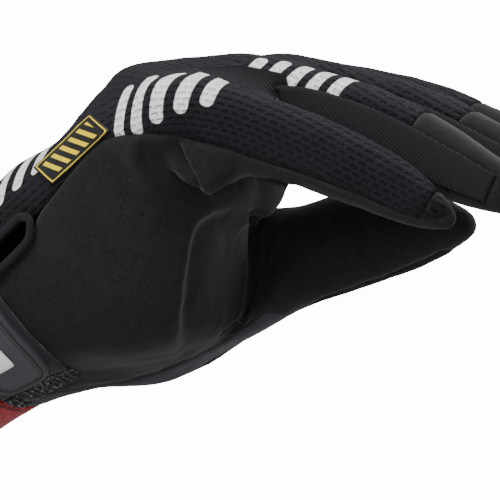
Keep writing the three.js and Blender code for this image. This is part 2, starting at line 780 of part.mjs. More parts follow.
// Closed geometry from outer and inner points and faces of three or four corners
function closedGeometry(outer, inner, list, order) {
  const count = outer.length;
  const triangles = [];
  const put = (corners) => {
    for (let i = 1; i + 1 < corners.length; i += 1) {
      triangles.push(corners[0], corners[i], corners[i + 1]);
    }
  };
  const edges = new Map();
  list.forEach((corners) => {
    put(corners);
    put(corners.slice().reverse().map((i) => i + count));
    corners.forEach((a, i) => edges.set(`${a},${corners[(i + 1) % corners.length]}`, true));
  });
  edges.forEach((_, key) => {
    const [a, b] = key.split(',').map(Number);
    if (!edges.has(`${b},${a}`)) {
      const first = order ? order[a] < order[b] : a < b;
      put(first ? [a, a + count, b + count, b] : [b, a, a + count, b + count]);
    }
  });
  const geometry = new THREE.BufferGeometry();
  const flat = [...outer, ...inner].flatMap((p) => toPart(p).toArray());
  geometry.setAttribute('position', new THREE.Float32BufferAttribute(flat, 3));
  geometry.setIndex(triangles);
  geometry.computeVertexNormals();
  return geometry;
}

// One panel of the glove: its faces, drawn back from each seam by half the seam gap,
// with a wall of its own thickness
function panelGeometry(name, wall) {
  const own = faces.filter((face) => face.panel === name);
  const edges = new Map();
  own.forEach((face) => {
    face.corners.forEach((a, i) => {
      edges.set(`${a},${face.corners[(i + 1) % face.corners.length]}`, face);
    });
  });
  const pulls = new Map();
  edges.forEach((face, key) => {
    const [a, b] = key.split(',').map(Number);
    if (!edges.has(`${b},${a}`)) {
      const way = points[b].clone().sub(points[a]);
      const inward = face.normal.clone().cross(way).normalize();
      [a, b].forEach((v) => {
        if (!pulls.has(v)) {
          pulls.set(v, []);
        }
        pulls.get(v).push(inward);
      });
    }
  });
  const index = new Map();
  const outer = [];
  const inner = [];
  const order = [];
  const place = (v) => {
    if (!index.has(v)) {
      const p = points[v].clone();
      const pull = pulls.get(v);
      if (pull) {
        const sum = pull.reduce((t, d) => t.add(d), new THREE.Vector3());
        const scale = Math.min(2 / Math.max(sum.lengthSq() / pull.length, 0.2), 5);
        p.addScaledVector(sum, (scale / pull.length) * (SEAM_GAP / 2) * 1.06);
      }
      index.set(v, outer.length);
      order.push(v);
      outer.push(p);
      inner.push(p.clone().addScaledVector(normals[v], -wall));
    }
    return index.get(v);
  };
  const list = own.map((face) => face.corners.map(place));
  return closedGeometry(outer, inner, list, order);
}

const glove = new THREE.Group();
glove.name = 'mechanic_glove';

function addPiece(name, geometry, look) {
  const mesh = new THREE.Mesh(geometry, new THREE.MeshStandardMaterial(look));
  mesh.name = name;
  glove.add(mesh);
}

addPiece('back_panel', panelGeometry('back_panel', KNIT_WALL), KNIT);
addPiece('palm_panel', panelGeometry('palm_panel', LEATHER_WALL), LEATHER);
for (let k = 1; k < FINGERS.length; k += 1) {
  addPiece(`side_strip_${k}`, panelGeometry(`side_strip_${k}`, STRIP_WALL), STRETCH);
}
addPiece('thumb_back', panelGeometry('thumb_back', KNIT_WALL), KNIT);
addPiece('thumb_front', panelGeometry('thumb_front', LEATHER_WALL), LEATHER);
addPiece('cuff_band', panelGeometry('cuff_band', CUFF_WALL), RED_WEB);

// Point on the wrist at a reach and a distance round from the side seam, toward the palm
// when positive, lifted off the surface
const ARC_STEPS = 160;

function wristArcs(reach) {
  const curve = sectionCurve(alongAt(reach));
  const list = [{ column: 0, arc: 0 }];
  let last = curve.getPoint(0);
  for (let i = 1; i <= ARC_STEPS; i += 1) {
    const column = (-LAST_COLUMN * i) / ARC_STEPS;
    const p = curve.getPoint(columnParameter(column) % 1);
    list.push({ column, arc: list[i - 1].arc + p.distanceTo(last) });
    last = p;
  }
  return list;
}

const arcTable = wristArcs(STRAP_END_REACH - STRAP_WIDTH / 2);
const arcTotal = arcTable[ARC_STEPS].arc;

function columnAtArc(arc) {
  const a = ((arc % arcTotal) + arcTotal) % arcTotal;
  const k = arcTable.findIndex((row) => row.arc >= a);
  if (k <= 0) {
    return 0;
  }
  const { column, arc: end } = arcTable[k];
  const { column: from, arc: start } = arcTable[k - 1];
  return from + ((column - from) * (a - start)) / (end - start);
}

function wristPoint(reach, arc, lift) {
  const at = (r, s) => sectionCurve(alongAt(r)).getPoint(columnParameter(columnAtArc(s)) % 1);
  const p = at(reach, arc);
  const ahead = at(reach + 1, arc).sub(at(reach - 1, arc));
  const round = at(reach, arc - 1.5).sub(at(reach, arc + 1.5));
  const out = ahead.cross(round).normalize();
  return p.addScaledVector(out, lift);
}

// Curved slab between two lifts. Each row across it has its own pair of edges.
function slabGeometry(rows, across, low, high, pointAt) {
  const outer = [];
  const inner = [];
  const list = [];
  rows.forEach(({ arc, from, to }) => {
    for (let i = 0; i <= across; i += 1) {
      const reach = from + ((to - from) * i) / across;
      outer.push(pointAt(reach, arc, high));
      inner.push(pointAt(reach, arc, low));
    }
  });
  const wide = across + 1;
  for (let r = 0; r + 1 < rows.length; r += 1) {
    for (let i = 0; i < across; i += 1) {
      const a = r * wide + i;
      list.push([a, a + wide, a + wide + 1, a + 1]);
    }
  }
  return closedGeometry(outer, inner, list);
}

// Rows of a strip with square or rounded ends; round is the corner radius at each end
function stripRows(from, to, low, high, step, roundStart, roundEnd) {
  const stops = [];
  const count = Math.max(Math.round((to - from) / step), 1);
  for (let i = 0; i <= count; i += 1) {
    stops.push(from + ((to - from) * i) / count);
  }
  [0.12, 0.45].forEach((t) => {
    if (roundStart > 0) {
      stops.push(from + roundStart * t);
    }
    if (roundEnd > 0) {
      stops.push(to - roundEnd * t);
    }
  });
  stops.sort((a, b) => a - b);
  return stops.map((arc) => {
    const inset = (distance, round) => {
      if (round <= 0 || distance >= round) {
        return 0;
      }
      const t = 1 - distance / round;
      return round * (1 - Math.sqrt(1 - t * t));
    };
    const cut = Math.max(inset(arc - from, roundStart), inset(to - arc, roundEnd));
    return { arc, from: low + cut, to: high - cut };
  });
}

const strapLow = STRAP_END_REACH - STRAP_WIDTH;
const strapLift = LAYER_GAP + 0.3;
const strapTop = strapLift + STRAP_WALL;
const plateLift = strapTop + LAYER_GAP;
const plateTop = plateLift + PLATE_WALL;
const insetLift = plateTop + LAYER_GAP;
const plateRound = 0.3 * STRAP_WIDTH;

addPiece('closing_strap', slabGeometry(
  stripRows(-STRAP_BACK_ARC, PLATE_END_ARC, strapLow, STRAP_END_REACH, 4.5, 0, 0),
  3,
  strapLift,
  strapTop,
  wristPoint,
), STRETCH);
addPiece('hook_patch', slabGeometry(
  stripRows(
    PLATE_END_ARC + SEAM_GAP,
    PLATE_END_ARC + HOOK_LENGTH,
    strapLow,
    STRAP_END_REACH,
    3,
    0,
    0.08 * STRAP_WIDTH,
  ),
  3,
  strapLift,
  strapLift + HOOK_WALL,
  wristPoint,
), HOOK);
addPiece('strap_plate', slabGeometry(
  stripRows(
    -PLATE_BACK_ARC,
    PLATE_END_ARC - PLATE_MARGIN,
    strapLow + PLATE_MARGIN,
    STRAP_END_REACH - PLATE_MARGIN,
    4,
    plateRound,
    plateRound,
  ),
  3,
  plateLift,
  plateTop,
  wristPoint,
), RUBBER);
addPiece('plate_inset', slabGeometry(
  stripRows(
    INSET_ARC,
    INSET_ARC + INSET_LENGTH,
    STRAP_END_REACH - (STRAP_WIDTH + INSET_WIDTH) / 2,
    STRAP_END_REACH - (STRAP_WIDTH - INSET_WIDTH) / 2,
    4,
    0,
    0,
  ),
  1,
  insetLift,
  insetLift + INSET_WALL,
  wristPoint,
), WHITE);

// Label on the back, with its lower edge along the side seam
const backRings = [...tubeRings, ...handRings];
const backRows = [...tubeRows, ...handRows.slice(1)];

function backPoint(reach, arc, lift) {
  let r = 0;
  while (r < backRings.length - 2 && backRings[r + 1][0].x < reach) {
    r += 1;
  }
  const t = (reach - backRings[r][0].x) / (backRings[r + 1][0].x - backRings[r][0].x);
  let c = 0;
  let left = arc;
  const stretch = (k) => backRings[r][k].distanceTo(backRings[r][k + 1]);
  while (left > stretch(c) && c < FINGER_COLUMNS * 2) {
    left -= stretch(c);
    c += 1;
  }
  const u = left / stretch(c);
  const mix = (of) => {
    const near = of(r, c).clone().lerp(of(r, c + 1), u);
    const far = of(r + 1, c).clone().lerp(of(r + 1, c + 1), u);
    return near.lerp(far, t);
  };
  const p = mix((i, k) => backRings[i][k]);
  const n = mix((i, k) => normals[weld[backRows[i][k]]]).normalize();
  return p.addScaledVector(n, lift);
}

const labelRows = [];
for (let i = 0; i <= 3; i += 1) {
  labelRows.push({
    arc: LABEL_MARGIN + (LABEL_WIDTH * (3 - i)) / 3,
    from: LABEL_REACH,
    to: LABEL_REACH + LABEL_LENGTH,
  });
}
addPiece('side_label', slabGeometry(
  labelRows,
  7,
  2 * LAYER_GAP,
  2 * LAYER_GAP + LABEL_WALL,
  backPoint,
), LABEL);

// Bound edge of the vent: a bead that follows both edges and the closed end
function ventEdge() {
  const list = [];
  const reaches = tubeReaches.filter((r) => r > STRAP_END_REACH + 1 && r < VENT_REACH);
  const start = STRAP_END_REACH + BINDING_WIDTH / 2 + LAYER_GAP;
  const stops = [start, ...reaches.filter((r) => r > start + 2)];
  const edge = (reach, side) => {
    const ring = palmRing(reach);
    const near = side > 0 ? ring[0] : ring[LAST_COLUMN];
    const next = side > 0 ? ring[1] : ring[LAST_COLUMN - 1];
    return near.clone().addScaledVector(next.clone().sub(near).normalize(), 0.4);
  };
  stops.forEach((r) => list.push(edge(r, 1)));
  const end = palmRing(VENT_REACH)[0];
  list.push(end.clone().add(new THREE.Vector3(0.9, 0, 0)));
  stops.slice().reverse().forEach((r) => list.push(edge(r, -1)));
  return list;
}

const ventLine = new THREE.CatmullRomCurve3(
  ventEdge().map((p) => p.add(new THREE.Vector3(0, -BINDING_LIFT, 0))),
  false,
  'centripetal',
);
const beadSides = 8;
const beadSteps = 30;
const beadOuter = [];
const beadFaces = [];
for (let i = 0; i <= beadSteps; i += 1) {
  const centre = ventLine.getPointAt(i / beadSteps);
  const ahead = ventLine.getTangentAt(i / beadSteps);
  const out = new THREE.Vector3(0, -1, 0).addScaledVector(ahead, ahead.y).normalize();
  const across = ahead.clone().cross(out);
  for (let k = 0; k < beadSides; k += 1) {
    const a = (2 * Math.PI * k) / beadSides;
    beadOuter.push(centre.clone()
      .addScaledVector(across, (Math.cos(a) * BINDING_WIDTH) / 2)
      .addScaledVector(out, Math.sin(a) * BINDING_HEIGHT));
  }
}
for (let i = 0; i < beadSteps; i += 1) {
  for (let k = 0; k < beadSides; k += 1) {
    const a = i * beadSides + k;
    const b = i * beadSides + ((k + 1) % beadSides);
    beadFaces.push([a, a + beadSides, b + beadSides, b]);
  }
}
const ring0 = Array.from({ length: beadSides }, (_, k) => k);
beadFaces.push(ring0);
beadFaces.push(ring0.map((k) => k + beadSteps * beadSides).reverse());
const beadGeometry = new THREE.BufferGeometry();
beadGeometry.setAttribute('position', new THREE.Float32BufferAttribute(
  beadOuter.flatMap((p) => toPart(p).toArray()),
  3,
));
beadGeometry.setIndex(beadFaces.flatMap((f) => {
  const list = [];
  for (let i = 1; i + 1 < f.length; i += 1) {
    list.push(f[0], f[i], f[i + 1]);
  }
  return list;
}));
beadGeometry.computeVertexNormals();
addPiece('vent_binding', beadGeometry, STRETCH);

export default glove;
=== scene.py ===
"""Work glove in a half closed grip: knit back, leather palm, cuff, strap, label and vent."""
import math
import random

import bmesh
import bpy
from bpy.props import FloatProperty, FloatVectorProperty, PointerProperty
from mathutils import Matrix, Vector, kdtree, noise
from mathutils.bvhtree import BVHTree


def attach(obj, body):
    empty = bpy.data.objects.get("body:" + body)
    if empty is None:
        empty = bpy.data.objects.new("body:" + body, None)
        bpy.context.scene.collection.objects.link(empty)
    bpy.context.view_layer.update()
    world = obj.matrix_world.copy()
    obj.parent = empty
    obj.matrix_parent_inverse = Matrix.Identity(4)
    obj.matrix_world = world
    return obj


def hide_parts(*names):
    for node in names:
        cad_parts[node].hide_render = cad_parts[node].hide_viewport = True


bl_info = {
    "name": "Work glove",
    "version": (1, 0, 0),
    "blender": (4, 5, 0),
    "location": "View3D > Sidebar > Glove",
    "description": "Builds a worn work glove with its knit, leather, strap, cuff and label",
    "category": "Object",
}

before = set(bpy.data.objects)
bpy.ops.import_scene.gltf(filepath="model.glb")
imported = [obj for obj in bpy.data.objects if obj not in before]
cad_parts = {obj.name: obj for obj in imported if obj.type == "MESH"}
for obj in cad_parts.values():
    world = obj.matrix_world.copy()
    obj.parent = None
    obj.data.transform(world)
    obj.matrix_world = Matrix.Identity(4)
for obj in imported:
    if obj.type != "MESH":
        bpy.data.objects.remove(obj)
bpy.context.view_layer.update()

MM = 0.001
# Directions of the hand: along the reach of the fingers, toward the thumb, out of the back.
REACH = Vector((0.7504719, -0.34202014, 0.56552114))
SIDE = Vector((0.47870362, 0.87126783, -0.10832922))
RISE = Vector((-0.45566959, 0.35201505, 0.8175883))
WRIST = Vector((-42.0, -3.024, -9.707)) * MM
# The eye that looks at the glove, level and straight along +Y.
EYE = Vector((0.09168, -0.71931, 0.03819))
EYE_LENS = 180.0
EYE_SENSOR = 36.0
# Width of the eye's picture and its focal length, in pixels
PICTURE = 500
PICTURE_FOCUS = PICTURE * EYE_LENS / EYE_SENSOR


def colour(name, description, value):
    return FloatVectorProperty(
        name=name, description=description, subtype="COLOR", size=3, min=0, max=1, default=value
    )


def length(name, description, value):
    return FloatProperty(
        name=name, description=description, subtype="DISTANCE", unit="LENGTH", min=0, default=value * MM
    )


class ClothSizes(bpy.types.PropertyGroup):
    """Walls, seams and knit of the glove's cloth and leather."""

    knit_wall: length("Knit wall", "Thickness of the knit back", 1.6)
    leather_wall: length("Leather wall", "Thickness of the palm leather", 1.2)
    seam_depth: length("Seam depth", "How far a panel turns in at its seam", 0.75)
    seam_width: length("Seam width", "How far from the seam the turn begins", 0.9)
    stitch_pitch: length("Knit pitch", "Length of one knit stitch and its gap", 3.3)
    stitch_row: length("Knit row", "Spacing of the rows of knit stitches", 1.85)
    knit_colour: colour("Knit", "Colour of the knit's ribs", (0.0095, 0.0095, 0.0122))
    leather_colour: colour("Leather", "Colour of the palm leather", (0.0125, 0.0122, 0.0122))
    stretch_colour: colour("Stretch", "Colour of the strips between the fingers", (0.0095, 0.0095, 0.0115))
    print_colour: colour("Print", "Colour of the bars printed on the back", (0.96, 0.96, 0.96))


class WristSizes(bpy.types.PropertyGroup):
    """Cuff, strap, label and vent of the glove."""

    cuff_colour: colour("Cuff", "Colour of the woven cuff band", (0.62, 0.018, 0.030))
    strap_colour: colour("Strap", "Colour of the strap's cloth", (0.022, 0.022, 0.025))
    plate_colour: colour("Plate", "Colour of the strap's moulded plate", (0.058, 0.060, 0.068))
    inset_colour: colour("Inset", "Colour of the bar in the plate", (0.95, 0.95, 0.95))
    hook_colour: colour("Hooks", "Colour of the hook patch", (0.020, 0.020, 0.022))
    label_colour: colour("Label", "Ground of the side label", (0.010, 0.010, 0.012))
    label_mark: colour("Label mark", "Frame and bars of the side label", (1.0, 0.74, 0.0))


class StageSizes(bpy.types.PropertyGroup):
    """Floor and light round the glove."""

    floor_height: FloatProperty(
        name="Floor", description="Height of the floor", unit="LENGTH", default=-0.16
    )
    floor_colour: colour("Floor colour", "Colour of the floor", (0.35, 0.35, 0.35))
    key_light: FloatProperty(
        name="Key light", description="Power of the main lamp", unit="POWER", default=7.5
    )
    room_light: FloatProperty(
        name="Room light", description="Strength of the room's own light", default=0.30
    )
    room_seen: FloatProperty(name="Room brightness", description="How pale the room looks", default=14.0)


# Materials


def new_material(name, roughness=0.85, sheen=0.0, sheen_tint=(1, 1, 1), specular=0.4):
    made = bpy.data.materials.new(name)
    made.use_nodes = True
    nodes = made.node_tree.nodes
    surface = nodes["Principled BSDF"]
    surface.inputs["Roughness"].default_value = roughness
    surface.inputs["Specular IOR Level"].default_value = specular
    surface.inputs["Sheen Weight"].default_value = sheen
    surface.inputs["Sheen Roughness"].default_value = 0.45
    surface.inputs["Sheen Tint"].default_value = (*sheen_tint, 1)
    return made


class Weaver:
    """Adds nodes to one material and links them."""

    def __init__(self, made):
        self.tree = made.node_tree
        self.surface = self.tree.nodes["Principled BSDF"]

    def node(self, kind, **settings):
        made = self.tree.nodes.new(kind)
        for key, value in settings.items():
            setattr(made, key, value)
        return made

    def link(self, source, target):
        self.tree.links.new(source, target)

    def put(self, socket, value):
        if hasattr(value, "is_output"):
            self.link(value, socket)
        else:
            socket.default_value = value

    def math(self, operation, a, b=0.0):
        made = self.node("ShaderNodeMath", operation=operation)
        self.put(made.inputs[0], a)
        self.put(made.inputs[1], b)
        return made.outputs[0]

    def apart(self, a, b):
        """How far apart two values lie."""
        return self.math("ABSOLUTE", self.math("SUBTRACT", a, b))

    def blend(self, share, a, b):
        """The value a where the share is 0, b where it is 1."""
        kept = self.math("MULTIPLY", a, self.math("SUBTRACT", 1.0, share))
        return self.math("ADD", kept, self.math("MULTIPLY", b, share))

    def place(self, scale=(1, 1, 1), uv=None, turn=(0, 0, 0)):
        if uv:
            source = self.node("ShaderNodeUVMap", uv_map=uv).outputs["UV"]
        else:
            source = self.node("ShaderNodeTexCoord").outputs["Object"]
        mapping = self.node("ShaderNodeMapping")
        mapping.inputs["Scale"].default_value = scale
        mapping.inputs["Rotation"].default_value = turn
        self.link(source, mapping.inputs["Vector"])
        return mapping.outputs["Vector"]

    def along(self, direction, scale=1.0):
        """How far a place lies along a direction."""
        made = self.node("ShaderNodeVectorMath", operation="DOT_PRODUCT")
        self.link(self.place(), made.inputs[0])
        made.inputs[1].default_value = direction * scale
        return made.outputs["Value"]

    def noise(self, size, detail=3.0, rough=0.55, at=None):
        """Soft noise whose features are about size millimetres across."""
        made = self.node("ShaderNodeTexNoise")
        made.inputs["Scale"].default_value = 1000.0 / size
        made.inputs["Detail"].default_value = detail
        made.inputs["Roughness"].default_value = rough
        self.link(at or self.place(), made.inputs["Vector"])
        return made.outputs["Fac"]

    def cells(self, size):
        """Cells about size millimetres across."""
        made = self.node("ShaderNodeTexVoronoi")
        made.inputs["Scale"].default_value = 1000.0 / size
        self.link(self.place(), made.inputs["Vector"])
        return made

    def ramp(self, value, low, high, start=0.0, end=1.0):
        """The start where a value is low and the end where it is high, eased between them."""
        made = self.node("ShaderNodeMapRange", interpolation_type="SMOOTHSTEP", clamp=True)
        self.put(made.inputs["Value"], value)
        self.put(made.inputs["From Min"], low)
        self.put(made.inputs["From Max"], high)
        made.inputs["To Min"].default_value = start
        made.inputs["To Max"].default_value = end
        return made.outputs["Result"]

    def paint(self, socket, value):
        """Puts a colour, or what gives one, into a socket."""
        self.put(socket, value if hasattr(value, "is_output") else (*value, 1))

    def mix(self, share, a, b):
        made = self.node("ShaderNodeMix", data_type="RGBA")
        self.put(made.inputs["Factor"], share)
        self.paint(made.inputs[6], a)
        self.paint(made.inputs[7], b)
        return made.outputs[2]

    def tinted(self, base, value, low, high, most, over):
        """A colour with another over it, which reaches its most where the value is high."""
        return self.mix(self.ramp(value, low, high, 0.0, most), base, over)

    def bump(self, height, depth, strength=1.0, under=None):
        """Bump of depth millimetres for a height from 0 to 1."""
        made = self.node("ShaderNodeBump")
        made.inputs["Strength"].default_value = strength
        made.inputs["Distance"].default_value = depth * MM
        self.link(height, made.inputs["Height"])
        if under is not None:
            self.link(under, made.inputs["Normal"])
        return made.outputs["Normal"]

    def stored(self, name, socket="Fac"):
        """A value stored on the piece's vertices."""
        return self.node("ShaderNodeAttribute", attribute_name=name).outputs[socket]

    def inside(self, name, edge):
        """1 where a stored distance inside a drawn shape is over the edge, 0 outside of it."""
        return self.ramp(self.stored(name), -edge, edge)

    def waves(self, at, scale, direction="X", distortion=0.0, detail=2.0):
        """Soft bands one after another along a direction."""
        made = self.node("ShaderNodeTexWave", wave_type="BANDS", bands_direction=direction)
        made.inputs["Scale"].default_value = scale
        made.inputs["Distortion"].default_value = distortion
        made.inputs["Detail"].default_value = detail
        self.link(at, made.inputs["Vector"])
        return made.outputs["Fac"]

    def wobbled(self, at, by, scale, reach):
        """A place moved about within a reach by the soft noise of another place."""
        wobble = self.node("ShaderNodeTexNoise")
        wobble.inputs["Scale"].default_value = scale
        self.link(by, wobble.inputs["Vector"])
        moved = self.node("ShaderNodeVectorMath", operation="MULTIPLY_ADD")
        self.link(wobble.outputs["Color"], moved.inputs[0])
        moved.inputs[1].default_value = reach
        self.link(at, moved.inputs[2])
        return moved.outputs[0]

    def slits(self, at, pitch, row, half, near, far):
        """0 in short slits laid like bricks along X, 1 between them; lengths in millimetres."""
        split = self.node("ShaderNodeSeparateXYZ")
        self.link(at, split.inputs[0])
        across = self.math("DIVIDE", split.outputs["Y"], row)
        line = self.math("FLOOR", across)
        part = self.math("SUBTRACT", across, line)
        side = self.math("MULTIPLY", self.apart(part, 0.5), row)
        odd = self.math("MULTIPLY", self.math("PINGPONG", line, 1.0), 0.5)
        along = self.math("ADD", self.math("DIVIDE", split.outputs["X"], pitch), odd)
        reach = self.math("MULTIPLY", self.apart(self.math("FRACT", along), 0.5), pitch)
        end = self.math("MAXIMUM", self.math("SUBTRACT", reach, half), 0.0)
        squares = self.math("ADD", self.math("POWER", end, 2.0), self.math("POWER", side, 2.0))
        gap = self.math("SQRT", squares)
        return self.ramp(gap, near, far)

    def finish(self, base, normal=None, roughness=None):
        self.paint(self.surface.inputs["Base Color"], base)
        if normal is not None:
            self.link(normal, self.surface.inputs["Normal"])
        if roughness is not None:
            self.link(roughness, self.surface.inputs["Roughness"])


def shade(value, factor):
    return tuple(channel * factor for channel in value)


RIB_TURN = (0.3, 0.6, 0.2)
WEBBING_PITCH = 0.9
# Reach of the dark rows sewn round the cuff, in mm
WEBBING_SEAMS = (-39.6, -37.8, -23.0)


def flow_rows(weaver, sizes):
    """Slits that follow the stored run of the knit's rows, and how far that run holds."""
    flow = weaver.stored("flow", "Vector")
    moved = weaver.wobbled(flow, weaver.place(), 120.0, (1.6, 1.1, 0))
    split = weaver.node("ShaderNodeSeparateXYZ")
    weaver.link(flow, split.inputs[0])
    rows = weaver.slits(moved, sizes.stitch_pitch / MM, sizes.stitch_row / MM, 0.75, 0.16, 0.62)
    return rows, split.outputs["Z"]


def knit_material(sizes, marked=False):
    """Knit with short slits and painted shade toward the wrist; the marked one also carries the print and the
    stretch wedge, whose cloth is painted dark as painted shade of the valley between the fingers.
    """
    made = new_material("knit_marked" if marked else "knit_plain", 0.82, 0.05, (0.8, 0.82, 1.0), 0.18)
    weaver = Weaver(made)
    dye = sizes.knit_colour
    at = weaver.place((1 / MM, 1 / MM, 1), uv="cloth")
    moved = weaver.wobbled(at, at, 0.12, (1.6, 1.2, 0))
    rib = weaver.slits(moved, sizes.stitch_pitch / MM, sizes.stitch_row / MM, 0.62, 0.18, 0.66)
    if marked:
        rows, squarely = flow_rows(weaver, sizes)
        rib = weaver.blend(squarely, rib, rows)
    fine = weaver.waves(moved, 0.55, "Y", 1.2)
    fuzz = weaver.noise(0.35, 4.0, 0.65)
    patch = weaver.noise(14.0, 2.0)
    tone = weaver.mix(rib, shade(dye, 0.42), shade(dye, 1.25))
    tone = weaver.tinted(tone, fuzz, 0.35, 0.75, 0.5, shade(dye, 0.55))
    tone = weaver.tinted(tone, patch, 0.3, 0.7, 0.35, shade(dye, 1.7))
    # Painted shade: the knit is painted darker toward the wrist, where less light falls.
    tone = weaver.tinted(tone, weaver.along(REACH), 0.055 - WRIST.x, 0.018 - WRIST.x, 0.62, shade(dye, 0.25))
    if marked:
        drawn = weaver.inside("print", 0.16)
        crack = weaver.ramp(weaver.noise(0.8, 4.0, 0.7), 0.22, 0.30)
        sunk = weaver.ramp(rib, 0.0, 0.4, 0.75, 1.0)
        drawn = weaver.math("MULTIPLY", drawn, weaver.math("MULTIPLY", crack, sunk))
        tone = weaver.mix(drawn, tone, sizes.print_colour)
        wedge = weaver.inside("wedge", 0.6)
        ribs = weaver.waves(weaver.place((1 / MM, 1 / MM, 1 / MM), turn=RIB_TURN), 0.4)
        # Painted shade: the wedge's cloth is painted far darker than the strips, for the shaded valley between
        # the fingers; its ribs are real.
        cloth = weaver.mix(ribs, shade(sizes.stretch_colour, 0.2), shade(sizes.stretch_colour, 0.5))
        tone = weaver.mix(wedge, tone, cloth)
        rib = weaver.blend(wedge, rib, weaver.math("MULTIPLY", ribs, 0.35))
    coarse = weaver.bump(rib, 0.5)
    threads = weaver.bump(fine, 0.10, 0.7, coarse)
    weaver.finish(tone, weaver.bump(fuzz, 0.10, 0.9, threads))
    return made


def leather_material(sizes):
    """Leather with a nap, lint, the band of inner cloth at its lower edge painted paler as painted light, and
    the knit on one tip.
    """
    made = new_material("palm_leather", 0.9, 0.13, (1.0, 0.98, 0.96), 0.2)
    weaver = Weaver(made)
    dye = sizes.leather_colour
    nap = weaver.noise(0.5, 5.0, 0.7)
    grain = weaver.noise(2.6, 4.0, 0.6)
    rubbed = weaver.noise(17.0, 3.0, 0.55)
    tone = weaver.mix(weaver.ramp(nap, 0.3, 0.7), shade(dye, 0.5), shade(dye, 1.6))
    tone = weaver.tinted(tone, grain, 0.4, 0.7, 0.45, shade(dye, 1.6))
    tone = weaver.tinted(tone, rubbed, 0.45, 0.75, 0.4, shade(dye, 1.9))
    lint = weaver.cells(2.4)
    speck = weaver.math("LESS_THAN", lint.outputs["Distance"], 0.055)
    few = weaver.node("ShaderNodeSeparateColor")
    weaver.link(lint.outputs["Color"], few.inputs[0])
    rare = weaver.math("GREATER_THAN", few.outputs[0], 0.72)
    tone = weaver.mix(weaver.math("MULTIPLY", speck, rare), tone, (0.08, 0.08, 0.078))
    band = weaver.inside("band", 0.8)
    cloth = weaver.noise(0.9, 4.0, 0.7, weaver.place((0.45, 1, 1)))
    # Painted light: the band's cloth is painted up to seven times paler than the knit so the dim lower edge
    # reads lit; its weave is real.
    band_with_painted_light = weaver.mix(cloth, shade(sizes.knit_colour, 1.5), shade(sizes.knit_colour, 7.0))
    tone = weaver.mix(band, tone, band_with_painted_light)
    tip = weaver.inside("tip", 0.9)
    rows = flow_rows(weaver, sizes)[0]
    knit = weaver.mix(rows, shade(sizes.knit_colour, 0.1), shade(sizes.knit_colour, 0.7))
    tone = weaver.mix(tip, tone, knit)
    raised = weaver.math("MULTIPLY", weaver.math("MULTIPLY", rows, tip), 1.6)
    woven = weaver.math("MULTIPLY", cloth, weaver.math("MULTIPLY", band, 2.0))
    height = weaver.math("ADD", weaver.math("ADD", grain, raised), woven)
    weaver.finish(tone, weaver.bump(nap, 0.10, 0.9, weaver.bump(height, 0.14, 0.7)))
    return made


def stretch_material(name, dye, sheen=0.1, size=0.8):
    """Fine ribbed stretch cloth."""
    made = new_material(name, 0.8, sheen, (0.85, 0.88, 1.0), 0.3)
    weaver = Weaver(made)
    rib = weaver.waves(weaver.place((1 / MM, 1 / MM, 1 / MM), turn=RIB_TURN), 0.31 / size, "X", 0.6, 1.0)
    fuzz = weaver.noise(0.35, 4.0)
    tone = weaver.mix(rib, shade(dye, 0.65), shade(dye, 1.35))
    tone = weaver.tinted(tone, fuzz, 0.35, 0.7, 0.4, shade(dye, 1.6))
    weaver.finish(tone, weaver.bump(fuzz, 0.1, 0.8, weaver.bump(rib, 0.16)))
    return made


def webbing_material(name, dye):
    """Woven band: short crossing threads."""
    made = new_material(name, 0.75, 0.3, (1.0, 0.7, 0.7), 0.35)
    weaver = Weaver(made)
    row = weaver.math("FRACT", weaver.along(REACH, 1 / (MM * WEBBING_PITCH)))
    across = weaver.math("MULTIPLY", weaver.apart(row, 0.5), 2.0)
    knot = weaver.ramp(weaver.cells(WEBBING_PITCH * 1.1).outputs["Distance"], 0.15, 0.6)
    weave = weaver.math("MAXIMUM", weaver.ramp(across, 0.55, 1.0), knot)
    fuzz = weaver.noise(0.4, 3.0)
    wide = weaver.noise(9.0, 2.0)
    tone = weaver.mix(weave, shade(dye, 1.1), shade(dye, 0.5))
    tone = weaver.tinted(tone, fuzz, 0.4, 0.75, 0.35, shade(dye, 0.5))
    tone = weaver.tinted(tone, wide, 0.4, 0.7, 0.25, shade(dye, 0.7))
    reach = weaver.along(REACH, 1 / MM)
    for seam in WEBBING_SEAMS:
        gap = weaver.apart(reach, seam - WRIST.x / MM)
        tone = weaver.mix(weaver.ramp(gap, 0.3, 0.5, 0.85, 0.0), tone, (0.01, 0.01, 0.012))
    threads = weaver.bump(weaver.math("SUBTRACT", 1.0, weave), 0.2)
    weaver.finish(tone, weaver.bump(fuzz, 0.08, 0.8, threads))
    return made


def moulded_material(name, dye, roughness=0.5, groove_shades=()):
    """Moulded plastic or rubber, darker along its rim, with painted shade in its grooves at the given distances
    from its rim.
    """
    made = new_material(name, roughness, 0.0, (1, 1, 1), 0.5)
    weaver = Weaver(made)
    grain = weaver.noise(0.5, 3.0)
    worn = weaver.noise(6.0, 3.0)
    tone = weaver.tinted(dye, worn, 0.35, 0.7, 0.5, shade(dye, 1.25))
    rough = weaver.ramp(worn, 0.3, 0.7, roughness - 0.06, roughness + 0.1)
    if groove_shades:
        rim = weaver.stored("rim")
        border = weaver.ramp(rim, groove_shades[0][0] - 0.2, groove_shades[0][0] + 0.2, 0.4, 0.0)
        tone = weaver.mix(border, tone, shade(dye, 0.3))
        # Painted shade: each groove of the plate is painted dark along its middle.
        for middle, half in groove_shades:
            gap = weaver.apart(rim, middle)
            tone = weaver.mix(weaver.ramp(gap, half * 0.5, half * 1.3, 0.9, 0.0), tone, shade(dye, 0.12))
    weaver.finish(tone, weaver.bump(grain, 0.05, 0.7), rough)
    return made


def nylon_material(name, dye):
    """Short hooks, most of them dark and some painted pale as painted glints."""
    made = new_material(name, 0.35, 0.0, (1, 1, 1), 0.6)
    weaver = Weaver(made)
    spread = weaver.noise(1.1, 2.0, 0.7)
    # Painted highlight: where the noise is high the hooks are painted far paler, as glints.
    weaver.finish(weaver.mix(weaver.ramp(spread, 0.5, 0.66), shade(dye, 0.8), shade(dye, 14.0)))
    return made


